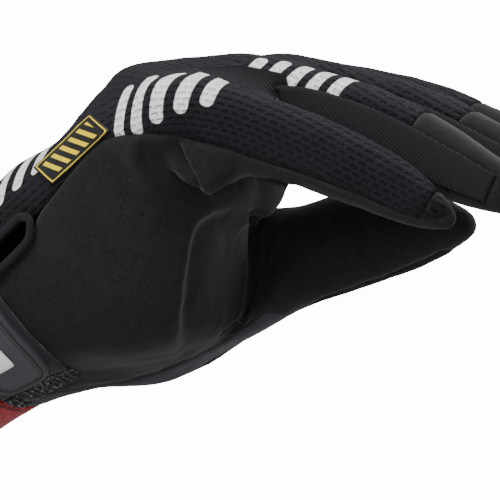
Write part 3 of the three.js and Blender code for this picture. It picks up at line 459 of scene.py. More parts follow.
def label_material(sizes):
    """Black ground with a thin frame and plain slanted bars."""
    made = new_material("label_print", 0.45, 0.0, (1, 1, 1), 0.5)
    weaver = Weaver(made)
    rim = weaver.stored("rim")
    frame_line = weaver.ramp(weaver.apart(rim, 0.75), 0.15, 0.27, 1.0, 0.0)
    slant = weaver.along(REACH + RISE * 0.8, 1 / MM)
    beat = weaver.math("FRACT", weaver.math("DIVIDE", slant, 3.6))
    bar = weaver.ramp(weaver.apart(beat, 0.5), 0.2, 0.24, 1.0, 0.0)
    field = weaver.ramp(rim, 2.3, 2.5)
    drawn = weaver.math("MAXIMUM", frame_line, weaver.math("MULTIPLY", bar, field))
    grain = weaver.noise(0.3, 3.0)
    tone = weaver.mix(drawn, sizes.label_colour, sizes.label_mark)
    weaver.finish(tone, weaver.bump(grain, 0.04, 0.7, weaver.bump(drawn, 0.06)))
    return made


# Skins of the solids

SHARP = math.radians(50)
SEAM_REACH = 0.62 * MM
DOUBLES = 2e-6
SKINS = {}
SKIN_NODES = ("back_panel", "palm_panel", "thumb_back", "thumb_front")
STRIP_NODES = ("side_strip_1", "side_strip_2", "side_strip_3")


def cut_skins(sizes):
    """Fills SKINS with the outer skins of the panels and the strips, joined edge to edge."""
    for node in SKIN_NODES:
        wall = sizes.leather_wall if node in ("palm_panel", "thumb_front") else sizes.knit_wall
        SKINS[node] = outer_skin(node, wall)
    for node in STRIP_NODES:
        SKINS[node] = closed_solid(node)
    seam_edges(SKINS)
    palm = SKINS["palm_panel"]
    piece = bpy.data.meshes.new("thumb_piece")
    SKINS.pop("thumb_front").to_mesh(piece)
    palm.from_mesh(piece)
    bpy.data.meshes.remove(piece)
    open_edges = [vert for vert in palm.verts if vert.is_boundary]
    bmesh.ops.remove_doubles(palm, verts=open_edges, dist=0.02 * MM)
    bmesh.ops.recalc_face_normals(palm, faces=palm.faces[:])


def opened(mesh):
    """A bmesh with the faces of a mesh."""
    bm = bmesh.new()
    bm.from_mesh(mesh)
    return bm


def wall_faces(bm, wall):
    """The faces of each wall of a thin closed shell, without its rim, as lists."""
    tree = BVHTree.FromBMesh(bm)
    reach = wall * 1.5
    found = {}
    for face in bm.faces:
        centre = face.calc_center_median()
        struck = tree.ray_cast(centre - face.normal * 1e-5, -face.normal, reach)
        if struck[0] is None:
            found[face.index] = -1
    walls = []
    for start in bm.faces:
        if start.index in found:
            continue
        found[start.index] = len(walls)
        members = [start]
        for face in members:
            for edge in face.edges:
                if len(edge.link_faces) != 2 or edge.calc_face_angle() > math.radians(75):
                    continue
                for other in edge.link_faces:
                    if other.index not in found:
                        found[other.index] = len(walls)
                        members.append(other)
        walls.append(members)
    walls.sort(key=lambda members: -len(members))
    return walls


def outer_skin(node, wall):
    """A bmesh of the outer wall of a shell node, in quads where its triangles pair up."""
    bm = opened(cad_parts[node].data)
    bmesh.ops.remove_doubles(bm, verts=bm.verts[:], dist=DOUBLES)
    bm.normal_update()
    bm.faces.ensure_lookup_table()
    walls = wall_faces(bm, wall)
    first, second = walls[0], walls[1]
    if sum(f.calc_area() for f in second) > sum(f.calc_area() for f in first):
        first, second = second, first
    keep = set(first)
    other = set(second)
    grown = True
    while grown:
        grown = False
        for face in bm.faces:
            if face in keep or face in other:
                continue
            shared = [
                edge
                for edge in face.edges
                if any(link in keep for link in edge.link_faces)
                and edge.calc_face_angle() < math.radians(80)
            ]
            if len(shared) >= 2:
                keep.add(face)
                grown = True
    bmesh.ops.delete(bm, geom=[f for f in bm.faces if f not in keep], context="FACES")
    bmesh.ops.join_triangles(
        bm, faces=bm.faces[:], angle_face_threshold=math.radians(60), angle_shape_threshold=math.radians(75)
    )
    return bm


def closed_solid(node):
    """A merged bmesh of a node's closed solid, in quads where its triangles pair up."""
    bm = opened(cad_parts[node].data)
    bmesh.ops.remove_doubles(bm, verts=bm.verts[:], dist=DOUBLES)
    bmesh.ops.join_triangles(
        bm, faces=bm.faces[:], angle_face_threshold=math.radians(35), angle_shape_threshold=math.radians(60)
    )
    bm.normal_update()
    return bm


def place_tree(places):
    """A tree that finds the nearest of some places."""
    tree = kdtree.KDTree(len(places))
    for index, place in enumerate(places):
        tree.insert(place, index)
    tree.balance()
    return tree


def edge_tree(edges, pitch):
    """A tree of places along some edges, about a pitch apart."""
    places = []
    for edge in edges:
        a, b = (vert.co.copy() for vert in edge.verts)
        steps = max(1, int((a - b).length / pitch))
        places.extend(a.lerp(b, step / steps) for step in range(steps + 1))
    return place_tree(places)


def seam_edges(skins):
    """Moves the neighbouring open edges of the skins, given by name, onto one shared line."""
    spots = []
    for name, bm in skins.items():
        for vert in bm.verts:
            if vert.is_boundary or name.startswith("side_strip"):
                spots.append((name, vert, vert.co.copy()))
    tree = place_tree([place for name, vert, place in spots])
    for name, vert, place in spots:
        nearest = {}
        for near, index, gap in tree.find_range(place, SEAM_REACH):
            other = spots[index][0]
            if other != name and gap < nearest.get(other, (9.0, None))[0]:
                nearest[other] = (gap, near.copy())
        if nearest:
            total = sum((near for gap, near in nearest.values()), place.copy())
            vert.co = total / (len(nearest) + 1)


def object_from(bm, name):
    mesh = bpy.data.meshes.new(name)
    bm.to_mesh(mesh)
    bm.free()
    made = bpy.data.objects.new(name, mesh)
    bpy.context.scene.collection.objects.link(made)
    return made


def smooth_faces(made):
    for polygon in made.data.polygons:
        polygon.use_smooth = True


def applied(made):
    """Makes what the object's modifiers give its own mesh."""
    bpy.context.view_layer.update()
    graph = bpy.context.evaluated_depsgraph_get()
    mesh = bpy.data.meshes.new_from_object(made.evaluated_get(graph))
    made.modifiers.clear()
    old = made.data
    made.data = mesh
    bpy.data.meshes.remove(old)
    mesh.name = made.name


def skin_area(made):
    return sum(polygon.area for polygon in made.data.polygons)


def subdivided(made, levels):
    modifier = made.modifiers.new("Subdivision", "SUBSURF")
    modifier.levels = levels
    modifier.render_levels = levels
    modifier.boundary_smooth = "PRESERVE_CORNERS"
    applied(made)


def thickened(made, wall):
    modifier = made.modifiers.new("Wall", "SOLIDIFY")
    modifier.thickness = wall
    modifier.offset = -1.0
    modifier.use_even_offset = False
    modifier.use_rim = True
    applied(made)


def boundary_tree(mesh):
    """A tree of places along the open edges of a mesh."""
    bm = opened(mesh)
    tree = edge_tree([edge for edge in bm.edges if len(edge.link_faces) == 1], 0.3 * MM)
    bm.free()
    return tree


def hand_place(point):
    """Reach, side and rise of a point from the knuckles' middle, in metres."""
    return Vector((point.dot(REACH), point.dot(SIDE), point.dot(RISE))) + WRIST


def picture_place(point):
    """Where the eye sees a point, in pixels of its picture."""
    away = point - EYE
    scale = PICTURE_FOCUS / away.y
    return Vector((PICTURE / 2 + away.x * scale, PICTURE / 2 - away.z * scale))


def struck_by_eye(tree, pixel):
    """What the eye's ray through a pixel strikes in a tree of faces."""
    away = Vector(((pixel[0] - PICTURE / 2) / PICTURE_FOCUS, 1, (PICTURE / 2 - pixel[1]) / PICTURE_FOCUS))
    return tree.ray_cast(EYE, away.normalized())


def stroke_distance(spot, stroke):
    """Distance from a picture point to a polyline and the share along it."""
    gap, share = signed_gap(spot, stroke)
    return abs(gap), share


def bell(distance, width):
    return math.exp(-((distance / width) ** 2))


# Line in the picture under which the palm shows the cloth band of its lower edge
BAND = ((60, 393), (89, 388), (128, 382), (160, 373), (191, 360), (223, 344), (250, 325), (268, 312),
        (290, 317))
# Folds as the eye sees them: depth in mm, half width in pixels, then points in pixels.
FOLDS = (
    (-0.5, 1.7, ((232, 155), (270, 167), (300, 178), (330, 190), (372, 207))),
    (0.9, 2.0, BAND),
    (0.8, 2.2, ((290, 220), (273, 250), (261, 280), (251, 306), (240, 324), (222, 341), (196, 352))),
    (-0.9, 1.8, ((296, 212), (280, 229), (268, 259), (258, 290), (248, 317), (231, 340), (204, 355))),
    (0.8, 2.2, ((301, 214), (286, 233), (274, 262), (264, 292), (254, 318), (238, 342))),
)
# Ledges as the eye sees them: the cloth to the left of the walk stands out, the other side
# lies deeper. Columns: out mm, its fade, in mm, its fade, edge width, points; all in pixels.
LEDGES = (
    (1.0, 22, 2.4, 9, 2.2, ((207, 197), (217, 190), (234, 180), (256, 177), (278, 178), (291, 184),
                            (312, 187))),
    (0.9, 12, 1.1, 16, 6.0,
     ((196, 206), (176, 204), (161, 194), (151, 180), (143, 166), (138, 152), (138, 129))),
    (1.5, 18, 1.4, 8, 3.0, ((175, 128), (186, 155), (197, 177), (205, 193))),
    (0.8, 22, 2.8, 42, 9.0, ((174, 372), (181, 340), (186, 300), (190, 264), (196, 236), (207, 221), (226, 213),
                             (252, 210))),
    (0.0, 12, 2.6, 10, 3.0, ((216, 345), (232, 329), (243, 314), (250, 270), (252, 222), (250, 208))),
)
LEDGE_SPLITS = (14, 6)
# The lip of leather at the little finger's base hangs down: pixels of the lip, drop in mm.
LIP = ((168, 150), (186, 156), (206, 161), (225, 167), (244, 172), (262, 176))
LIP_DROP = (0.0, 7.5, 8.5, 5.5, 1.5, 0.0)
LIP_WAY = Vector((0, -0.25, -1))
LIP_SPREAD = 6.5 * MM
PIN_WIDTH = 4.0 * MM
# Groups of slanted bars printed on the knit, laid out on the flat cloth round a pixel that the
# eye sees. Columns: pixel, bars, pitch, length and half width in mm.
PRINT = (
    ((168, 82), 5, 6.6, 15.0, 1.75),
    ((292, 74), 5, 6.6, 13.0, 1.75),
    ((26, 163), 3, 7.0, 20.0, 1.75),
)
PRINT_SLANT = Vector((0.42, 0.9)).normalized()
# The way the knit's rows run along the side of the hand and the little finger, in pixels
KNIT_FLOW = ((-20, 232), (20, 196), (60, 158), (100, 122), (135, 104), (170, 98), (210, 101), (250, 112),
             (300, 135), (350, 163), (400, 190), (470, 230))
PIXEL = 0.288
# Knit that runs on over the side of the little finger's tip, in pixels
TIP = ((404, 212), (418, 160), (446, 186), (454, 203), (450, 214), (438, 219), (420, 219))
# Stretch cloth that runs on past the strip between the little and the ring finger, painted dark as painted
# shade of the valley between them
WEDGE = ((196, 68), (247, 66), (286, 74), (292, 104), (263, 93), (216, 83))
WEDGE_SIDES = (-31 * MM, 0.0)
FAR = -20.0


def signed_gap(spot, stroke):
    """Distance to a polyline, negative to the left of its walk, and the share along it."""
    best = 1e9
    sign = 1.0
    share = 0.0
    total = len(stroke) - 1
    for index in range(total):
        a, b = stroke[index], stroke[index + 1]
        along = b - a
        away = spot - a
        t = max(0.0, min(1.0, away.dot(along) / along.length_squared))
        gap = (away - along * t).length
        if gap < best:
            best = gap
            sign = -1.0 if along.x * away.y - along.y * away.x < 0 else 1.0
            share = (index + t) / total
    return best * sign, share


class Stroke:
    """A line drawn in the eye's picture, with the box round what it can move."""

    def __init__(self, points, reach):
        self.points = [Vector(p) for p in points]
        self.low = Vector((min(p.x for p in self.points) - reach, min(p.y for p in self.points) - reach))
        self.high = Vector((max(p.x for p in self.points) + reach, max(p.y for p in self.points) + reach))

    def near(self, spot):
        return self.low.x < spot.x < self.high.x and self.low.y < spot.y < self.high.y


def smooth_step(value):
    value = max(0.0, min(1.0, value))
    return value * value * (3 - 2 * value)


def rounded(points, steps=4):
    """The points of a smooth curve through the given picture points."""
    spots = [Vector(p) for p in points]
    ends = [spots[0] * 2 - spots[1], *spots, spots[-1] * 2 - spots[-2]]
    curve = [spots[0]]
    for a, b, c, d in zip(ends, ends[1:], ends[2:], ends[3:]):
        for step in range(1, steps + 1):
            t = step / steps
            bend = (a * 2 - b * 5 + c * 4 - d) * t * t + (b * 3 - a - c * 3 + d) * t * t * t
            curve.append((b * 2 + (c - a) * t + bend) / 2)
    return curve


def lip_places(tree):
    """The lip's places in space, with the drop of each."""
    struck = [(struck_by_eye(tree, spot)[0], drop * MM) for spot, drop in zip(LIP, LIP_DROP)]
    return [(place, drop) for place, drop in struck if place is not None]


def lip_drop(place, lip):
    """How far a place is drawn down with the lip of leather."""
    best = 1e9
    drop = 0.0
    for (a, low), (b, high) in zip(lip, lip[1:]):
        along = b - a
        t = max(0.0, min(1.0, (place - a).dot(along) / along.length_squared))
        gap = (place - a - along * t).length
        if gap < best:
            best = gap
            drop = low + (high - low) * t
    return drop * bell(best, LIP_SPREAD)


def ledge_push(gap, share, out, out_fade, deep, deep_fade, edge):
    """How far a ledge moves the cloth at a signed distance from its line, in millimetres."""
    ends = smooth_step(5 * share) * smooth_step(5 * (1 - share))
    over = out * bell(gap, out_fade)
    under = -deep * bell(gap, deep_fade)
    step = smooth_step(0.5 - gap / (2 * edge))
    return (over * step + under * (1 - step)) * ends


SIGHT = []


def nodes_tree(without=None):
    """The faces of every node, or of every node but one."""
    places = []
    faces = []
    for name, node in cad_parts.items():
        if name != without:
            start = len(places)
            places.extend(vert.co.copy() for vert in node.data.vertices)
            faces.extend([start + index for index in polygon.vertices] for polygon in node.data.polygons)
    return BVHTree.FromPolygons(places, faces)


def hidden(place, slack):
    """Whether a node stands before a place by more than some slack, as the eye looks."""
    if not SIGHT:
        SIGHT.append(nodes_tree())
    away = place - EYE
    struck = SIGHT[0].ray_cast(EYE, away.normalized())
    return struck[0] is not None and struck[3] < away.length - slack


def seen_shares(bm):
    """How much the eye sees of each vertex past the other pieces, 0 to 1, softened."""
    shares = [0.0 if hidden(vert.co, 2.5 * MM) or vert.normal.y > 0.3 else 1.0 for vert in bm.verts]
    for turn in range(2):
        before = shares[:]
        for vert in bm.verts:
            around = [edge.other_vert(vert).index for edge in vert.link_edges]
            if around:
                mean = sum(before[i] for i in around) / len(around)
                shares[vert.index] = (before[vert.index] + mean) / 2
    return shares


def smoothed(bm, verts, turns):
    for turn in range(turns):
        bmesh.ops.smooth_vert(bm, verts=verts, factor=0.5, use_axis_x=True, use_axis_y=True, use_axis_z=True)


def mean_edge(vert):
    return sum(edge.calc_length() for edge in vert.link_edges) / len(vert.link_edges)


def split_near(bm, strokes, passes):
    """Splits the edges within some pixels of the strokes, once for each pass, where the eye looks."""
    for reach in passes:
        near = set()
        for vert in bm.verts:
            if vert.normal.y > 0.3:
                continue
            spot = picture_place(vert.co)
            runs = [stroke.points for stroke in strokes if stroke.near(spot)]
            if any(abs(signed_gap(spot, points)[0]) < reach for points in runs):
                near.add(vert)
        edges = [edge for edge in bm.edges if edge.verts[0] in near and edge.verts[1] in near]
        bmesh.ops.subdivide_edges(bm, edges=edges, cuts=1, use_grid_fill=True)
        bm.normal_update()
    bm.verts.index_update()


def ledged(made):
    """Splits the cloth finer near the ledges that the eye sees, then sets them in it."""
    strokes = [Stroke(rounded(row[5]), 2.2 * max(row[1], row[3])) for row in LEDGES]
    pins = boundary_tree(made.data)
    bm = opened(made.data)
    bm.normal_update()
    lip = lip_places(BVHTree.FromBMesh(bm))
    for vert in bm.verts:
        hold = smooth_step(pins.find(vert.co)[2] / PIN_WIDTH)
        vert.co += LIP_WAY * lip_drop(vert.co, lip) * hold
    bm.normal_update()
    split_near(bm, strokes, LEDGE_SPLITS)
    shares = seen_shares(bm)
    moves = []
    for vert in bm.verts:
        push = 0.0
        if shares[vert.index] > 0:
            spot = picture_place(vert.co)
            for stroke, row in zip(strokes, LEDGES):
                if stroke.near(spot):
                    push += ledge_push(*signed_gap(spot, stroke.points), *row[:5])
            push *= smooth_step(pins.find(vert.co)[2] / PIN_WIDTH)
        moves.append(vert.normal * push * shares[vert.index] * MM)
    for vert, move in zip(bm.verts, moves):
        vert.co += move
    inner = [vert for vert in bm.verts if vert.link_edges and not vert.is_boundary]
    smoothed(bm, [vert for vert in inner if mean_edge(vert) < 0.9 * MM], 3)
    bm.to_mesh(made.data)
    bm.free()


def flat_places(bm):
    """Where each vertex lies on the flat cloth, in mm."""
    layer = bm.loops.layers.uv["cloth"]
    return [Vector(vert.link_loops[0][layer].uv) / MM for vert in bm.verts]


def print_bars(bm):
    """The ends of every printed bar on the flat cloth, with its half width."""
    tree = BVHTree.FromBMesh(bm)
    bm.faces.ensure_lookup_table()
    layer = bm.loops.layers.uv["cloth"]
    bars = []
    for pixel, count, pitch, tall, half in PRINT:
        face = struck_by_eye(tree, pixel)[2]
        if face is None:
            raise RuntimeError("the print misses the knit")
        middle = Vector(bm.faces[face].loops[0][layer].uv) / MM
        for step in range(count):
            centre = middle + Vector((pitch * (step - (count - 1) / 2), 0))
            bars.append((centre - PRINT_SLANT * tall / 2, centre + PRINT_SLANT * tall / 2, half))
    return bars


def bar_depth(flat, bars):
    """How far inside a printed bar a place on the flat cloth lies, in mm."""
    depth = FAR
    for low, high, half in bars:
        if abs(flat.x - (low.x + high.x) / 2) < 12 and abs(flat.y - (low.y + high.y) / 2) < 15:
            depth = max(depth, half - stroke_distance(flat, (low, high))[0])
    return depth


def printed(made):
    """Splits the knit finer round the printed bars and stores how far inside them it lies."""
    bm = opened(made.data)
    bars = print_bars(bm)
    for reach in (2.2, 1.3):
        depths = [bar_depth(flat, bars) for flat in flat_places(bm)]
        bm.verts.index_update()
        edges = [edge for edge in bm.edges if all(abs(depths[vert.index]) < reach for vert in edge.verts)]
        bmesh.ops.subdivide_edges(bm, edges=edges, cuts=1, use_grid_fill=True)
        bm.verts.index_update()
    depths = [bar_depth(flat, bars) for flat in flat_places(bm)]
    layer = bm.verts.layers.float.new("print")
    for vert in bm.verts:
        vert[layer] = depths[vert.index]
    bm.to_mesh(made.data)
    bm.free()
    smooth_faces(made)


def band_depth(spot, place):
    """How far under the line of the palm's lower edge a place lies, in pixels."""
    if spot.y < 300 or spot.x > BAND[-1][0]:
        return FAR
    return signed_gap(spot, [Vector(p) for p in BAND])[0]


def tip_depth(spot, place):
    """How far inside the knit of the little finger's tip a place that the eye sees lies, in pixels."""
    away = spot.x < 390 or spot.y > 230
    return FAR if away or hidden(place, 3 * MM) else ring_depth(spot, TIP)


def wedge_depth(spot, place):
    """How far inside the stretch wedge a place of the back's near half lies, in pixels."""
    near, far = WEDGE_SIDES
    return ring_depth(spot, WEDGE) if near < hand_place(place).y < far else FAR


def flowed(made):
    """Stores how far along and off the knit's rows each vertex lies, in mm, and how squarely it is seen."""
    curve = rounded(KNIT_FLOW)
    lengths = [0.0]
    for a, b in zip(curve, curve[1:]):
        lengths.append(lengths[-1] + (b - a).length)
    layer = made.data.attributes.new("flow", "FLOAT_VECTOR", "POINT")
    for vert in made.data.vertices:
        weight = smooth_step((-vert.normal.y - 0.38) / 0.2)
        if weight > 0:
            gap, share = signed_gap(picture_place(vert.co), curve)
            step = min(share * (len(curve) - 1), len(curve) - 1.001)
            low = lengths[int(step)]
            along = low + (lengths[int(step) + 1] - low) * (step - int(step))
            layer.data[vert.index].vector = (along * PIXEL, gap * PIXEL, weight)


def ring_depth(spot, points):
    """How far inside a closed outline a place lies, in pixels."""
    ring = [Vector(p) for p in points]
    inside = False
    for a, b in zip(ring, ring[1:] + ring[:1]):
        if (a.y > spot.y) != (b.y > spot.y) and spot.x < a.x + (b.x - a.x) * (spot.y - a.y) / (b.y - a.y):
            inside = not inside
    gap = stroke_distance(spot, ring + ring[:1])[0]
    return gap if inside else -gap


def marked(made, name, depth):
    """Stores a drawn shape on a piece as how far inside it each vertex lies."""
    layer = made.data.attributes.new(name, "FLOAT", "POINT")
    for vert in made.data.vertices:
        seen = vert.normal.y < 0.35
        layer.data[vert.index].value = depth(picture_place(vert.co), vert.co) if seen else FAR


def soften(made, rough, sizes, seed):
    """Turns a panel in at its seams, creases it along the folds and ripples it a little."""
    mesh = made.data
    normals = [vert.normal.copy() for vert in mesh.vertices]
    seams = boundary_tree(mesh)
    strokes = [(depth, width, Stroke(points, 3 * width)) for depth, width, points in FOLDS]
    for vert, normal in zip(mesh.vertices, normals):
        place = vert.co.copy()
        shift = rough * MM * (noise.noise(place * 95 + Vector((seed, 0, 0))))
        shift += 0.45 * rough * MM * noise.noise(place * 230 + Vector((0, seed, 0)))
        if normal.y < 0.25:
            spot = picture_place(place)
            facing = min(1.0, max(0.0, (0.25 - normal.y) * 3))
            for depth, width, stroke in strokes:
                if stroke.near(spot):
                    gap, share = stroke_distance(spot, stroke.points)
                    ends = min(1.0, 4 * share + 0.05, 4 * (1 - share) + 0.05)
                    shift -= depth * MM * bell(gap, width) * ends * facing
        shift -= sizes.seam_depth * bell(seams.find(place)[2], sizes.seam_width)
        vert.co = place + normal * shift
    mesh.update()


def cloth_map(made, along):
    """Unwraps a skin flat, in metres, with U along the given direction."""
    bpy.ops.object.select_all(action="DESELECT")
    bpy.context.view_layer.objects.active = made
    made.select_set(True)
    made.data.uv_layers.new(name="cloth")
    bpy.ops.object.mode_set(mode="EDIT")
    bpy.ops.mesh.select_all(action="SELECT")
    bpy.ops.uv.unwrap(method="ANGLE_BASED", fill_holes=True, margin=0.0)
    bpy.ops.object.mode_set(mode="OBJECT")
    mesh = made.data
    layer = mesh.uv_layers["cloth"].data
    solid = 0.0
    flat = 0.0
    turn = Vector((0.0, 0.0))
    for polygon in mesh.polygons:
        ring = list(polygon.loop_indices)
        spots = [layer[i].uv for i in ring]
        places = [mesh.vertices[mesh.loops[i].vertex_index].co for i in ring]
        for k in range(1, len(ring) - 1):
            du, dv = spots[k] - spots[0], spots[k + 1] - spots[0]
            dp, dq = places[k] - places[0], places[k + 1] - places[0]
            area = du.x * dv.y - du.y * dv.x
            flat += abs(area) / 2
            solid += dp.cross(dq).length / 2
            fp, fq = dp.dot(along), dq.dot(along)
            turn += Vector((fp * dv.y - fq * du.y, fq * du.x - fp * dv.x)) * (1 if area > 0 else -1)
    scale = math.sqrt(solid / flat)
    turn.normalize()
    for loop in layer:
        u, v = loop.uv
        loop.uv = ((u * turn.x + v * turn.y) * scale, (v * turn.x - u * turn.y) * scale)
    return solid


def dressed(made, material, *nodes, slot):
    """Gives a piece its finish and its body, and hides the solids that it stands for."""
    made.data.materials.clear()
    made.data.materials.append(material)
    smooth_faces(made)
    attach(made, "root")
    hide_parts(*nodes)
    return made


def panel(node, name, wall, levels, sizes, rough, seed, along=None, ledges=False, marks=()):
    """One cloth or leather panel made from a node's outer skin. Gives it and its flat area."""
    if not SKINS:
        cut_skins(sizes)
    made = object_from(SKINS.pop(node), name)
    subdivided(made, levels)
    area = cloth_map(made, along) if along else skin_area(made)
    if ledges:
        ledged(made)
    soften(made, rough, sizes, seed)
    if node == "back_panel":
        printed(made)
    for mark, depth in marks:
        marked(made, mark, depth)
    if marks:
        flowed(made)
    thickened(made, wall)
    return made, area


class GloveOperator(bpy.types.Operator):
    """Shared settings of the glove's operators."""

    bl_options = {"REGISTER", "UNDO"}


class GLOVE_OT_back(GloveOperator):
    """Makes the knit back of the hand and of the thumb"""

    bl_idname = "glove.back"
    bl_label = "Knit back"

    def execute(self, context):
        sizes = context.scene.glove_cloth
        marks = (("wedge", wedge_depth),)
        back, area = panel(
            "back_panel", "knit_back", sizes.knit_wall, 2, sizes, 0.3, 1.0, REACH, marks=marks
        )
        dressed(back, knit_material(sizes, True), "back_panel", slot="knit")
        thumb, area = panel("thumb_back", "knit_thumb", sizes.knit_wall, 3, sizes, 0.2, 2.0, REACH)
        dressed(thumb, knit_material(sizes), "thumb_back", slot="knit")
        return {"FINISHED"}


class GLOVE_OT_palm(GloveOperator):
    """Makes the leather palm and the leather front of the thumb"""

    bl_idname = "glove.palm"
    bl_label = "Leather palm"

    def execute(self, context):
        sizes = context.scene.glove_cloth
        marks = (("band", band_depth), ("tip", tip_depth))
        palm, area = panel(
            "palm_panel", "leather_palm", sizes.leather_wall, 2, sizes, 0.35, 3.0, ledges=True, marks=marks
        )
        dressed(palm, leather_material(sizes), "palm_panel", "thumb_front", slot="palm_leather")
        return {"FINISHED"}


def sharp_edges(bm):
    """The edges at which two faces meet sharply."""
    return [edge for edge in bm.edges if len(edge.link_faces) == 2 and edge.calc_face_angle() > SHARP]


def soft_solid(node, name, levels, crease=0.8):
    """A node's closed solid rounded by subdivision, with its sharp edges held by a crease."""
    bm = SKINS.pop(node) if node in SKINS else closed_solid(node)
    layer = bm.edges.layers.float.new("crease_edge")
    for edge in sharp_edges(bm):
        edge[layer] = crease
    made = object_from(bm, name)
    subdivided(made, levels)
    return made


def cloth_solid(node, name, material, slot, crease=0.8):
    """A soft solid of folded cloth, dressed in its finish."""
    made = dressed(soft_solid(node, name, 2, crease), material, node, slot=slot)


def covered(others, place, normal):
    """Whether another piece lies close over a place."""
    return others.ray_cast(place + normal * 1e-4, normal, 5 * MM)[0] is not None


def plate_relief(gap):
    """The plate's rounded rim, its groove and the fine line inside it."""
    return -0.3 * bell(gap, 0.5) - 0.42 * bell(gap - 1.9, 0.34) - 0.2 * bell(gap - 2.8, 0.25)


def relieved(plate, node):
    """Stores how far each vertex lies from the plate's rim, in mm, and sinks the relief in its open face."""
    bm = closed_solid(node)
    rim = edge_tree(sharp_edges(bm), 0.2 * MM)
    bm.free()
    others = nodes_tree(node)
    layer = plate.data.attributes.new("rim", "FLOAT", "POINT")
    moves = []
    for vert in plate.data.vertices:
        gap = rim.find(vert.co)[2] / MM
        layer.data[vert.index].value = gap
        depth = 0.0 if covered(others, vert.co, vert.normal) else plate_relief(gap)
        moves.append(vert.normal * depth * MM)
    for vert, move in zip(plate.data.vertices, moves):
        vert.co += move
    plate.data.update()


def copies(name, template, places):
    """One mesh object with a copy of a small bmesh at each place."""
    whole = bmesh.new()
    one = bpy.data.meshes.new("one")
    for place in places:
        copy = template.copy()
        bmesh.ops.transform(copy, matrix=place, verts=copy.verts[:])
        copy.to_mesh(one)
        copy.free()
        whole.from_mesh(one)
    template.free()
    bpy.data.meshes.remove(one)
    return object_from(whole, name)


def hook_template(radius, wire):
    """One small spun hook standing on its foot."""
    bm = bmesh.new()
    ring = bmesh.ops.create_circle(bm, segments=5, radius=wire)
    bmesh.ops.translate(bm, verts=ring["verts"], vec=(radius, 0, 0))
    bmesh.ops.spin(
        bm, geom=bm.verts[:] + bm.edges[:], cent=(0, 0, 0), axis=(0, -1, 0), angle=math.radians(215), steps=6
    )
    bmesh.ops.holes_fill(bm, edges=[edge for edge in bm.edges if edge.is_boundary])
    bmesh.ops.recalc_face_normals(bm, faces=bm.faces[:])
    return bm


def open_spots(made, node, count, seed):
    """Places with their normals spread by chance over the faces that no other piece covers."""
    others = nodes_tree(node)
    chance = random.Random(seed)
    faces = [face for face in made.data.polygons if not covered(others, face.center, face.normal)]
    found = []
    for face in chance.choices(faces, [face.area for face in faces], k=count):
        corners = [made.data.vertices[i].co for i in face.vertices]
        shares = [chance.random() + 0.01 for corner in corners]
        place = sum((corner * share for corner, share in zip(corners, shares)), Vector()) / sum(shares)
        found.append((place, face.normal.copy(), chance.uniform(0, math.tau), chance.uniform(0.7, 1.25)))
    return found


def standing(place, normal, turn, size):
    """A matrix that stands a small form on a surface."""
    stand = normal.to_track_quat("Z", "Y").to_matrix().to_4x4()
    return Matrix.Translation(place) @ stand @ Matrix.Rotation(turn, 4, "Z") @ Matrix.Scale(size, 4)


class GLOVE_OT_strips(GloveOperator):
    """Makes the stretch strips between the fingers"""

    bl_idname = "glove.strips"
    bl_label = "Finger strips"

    def execute(self, context):
        material = stretch_material("stretch_strip", context.scene.glove_cloth.stretch_colour)
        for number in (1, 2, 3):
            cloth_solid(f"side_strip_{number}", f"stretch_strip_{number}", material, "stretch")
        return {"FINISHED"}


class GLOVE_OT_cuff(GloveOperator):
    """Makes the red woven cuff band"""

    bl_idname = "glove.cuff"
    bl_label = "Cuff band"

    def execute(self, context):
        material = webbing_material("cuff_webbing", context.scene.glove_wrist.cuff_colour)
        cloth_solid("cuff_band", "cuff_webbing", material, "red_webbing", 0.75)
        return {"FINISHED"}


HOOK_COUNT = 1300
HOOK_SEED = 5
HOOK_RADIUS = 0.36 * MM
HOOK_WIRE = 0.09 * MM
# Painted shade in the plate's grooves: how far from its rim and how wide to each side, in mm
PLATE_GROOVE_SHADES = ((1.9, 0.32), (2.8, 0.16))


class GLOVE_OT_strap(GloveOperator):
    """Makes the closing strap with its moulded plate, white bar and hook patch"""

    bl_idname = "glove.strap"
    bl_label = "Closing strap"

    def execute(self, context):
        sizes = context.scene.glove_wrist
        cloth = stretch_material("strap_cloth", sizes.strap_colour, 0.15, 0.6)
        cloth_solid("closing_strap", "strap_cloth", cloth, "strap_fabric")
        plate = soft_solid("strap_plate", "strap_plate_moulded", 4, 0.85)
        relieved(plate, "strap_plate")
        rubber = moulded_material("plate_rubber", sizes.plate_colour, groove_shades=PLATE_GROOVE_SHADES)
        dressed(plate, rubber, "strap_plate", slot="plate_rubber")
        inset = soft_solid("plate_inset", "plate_bar", 2, 0.9)
        white = moulded_material("white_bar", sizes.inset_colour, 0.4)
        dressed(inset, white, "plate_inset", slot="white_inset")
        tape = soft_solid("hook_patch", "hook_tape", 2, 0.8)
        ground = moulded_material("hook_tape", shade(sizes.hook_colour, 0.5), 0.8)
        dressed(tape, ground, "hook_patch", slot="hook")
        places = [standing(*spot) for spot in open_spots(tape, "hook_patch", HOOK_COUNT, HOOK_SEED)]
        hooks = copies("hook_loops", hook_template(HOOK_RADIUS, HOOK_WIRE), places)
        hooks.data.materials.append(nylon_material("hook_nylon", sizes.hook_colour))
        smooth_faces(hooks)
        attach(hooks, "root")
        return {"FINISHED"}


# Corners of the label in the eye's picture: wrist low, wrist high, finger high, finger low.
LABEL_CORNERS = ((54, 185), (35, 169), (92, 115), (111, 131))
LABEL_STEPS = (48, 20)
LABEL_WALL = 0.6 * MM
LABEL_LIFT = 0.1 * MM


def straightened(bm, turns):
    """Evens out the run of a grid's four sides between its corners."""
    sides = {
        vert: [edge.other_vert(vert) for edge in vert.link_edges if edge.is_boundary]
        for vert in bm.verts
        if vert.is_boundary and len(vert.link_edges) > 2
    }
    for turn in range(turns):
        means = {vert: (a.co + b.co) / 2 for vert, (a, b) in sides.items()}
        for vert, mean in means.items():
            vert.co = mean


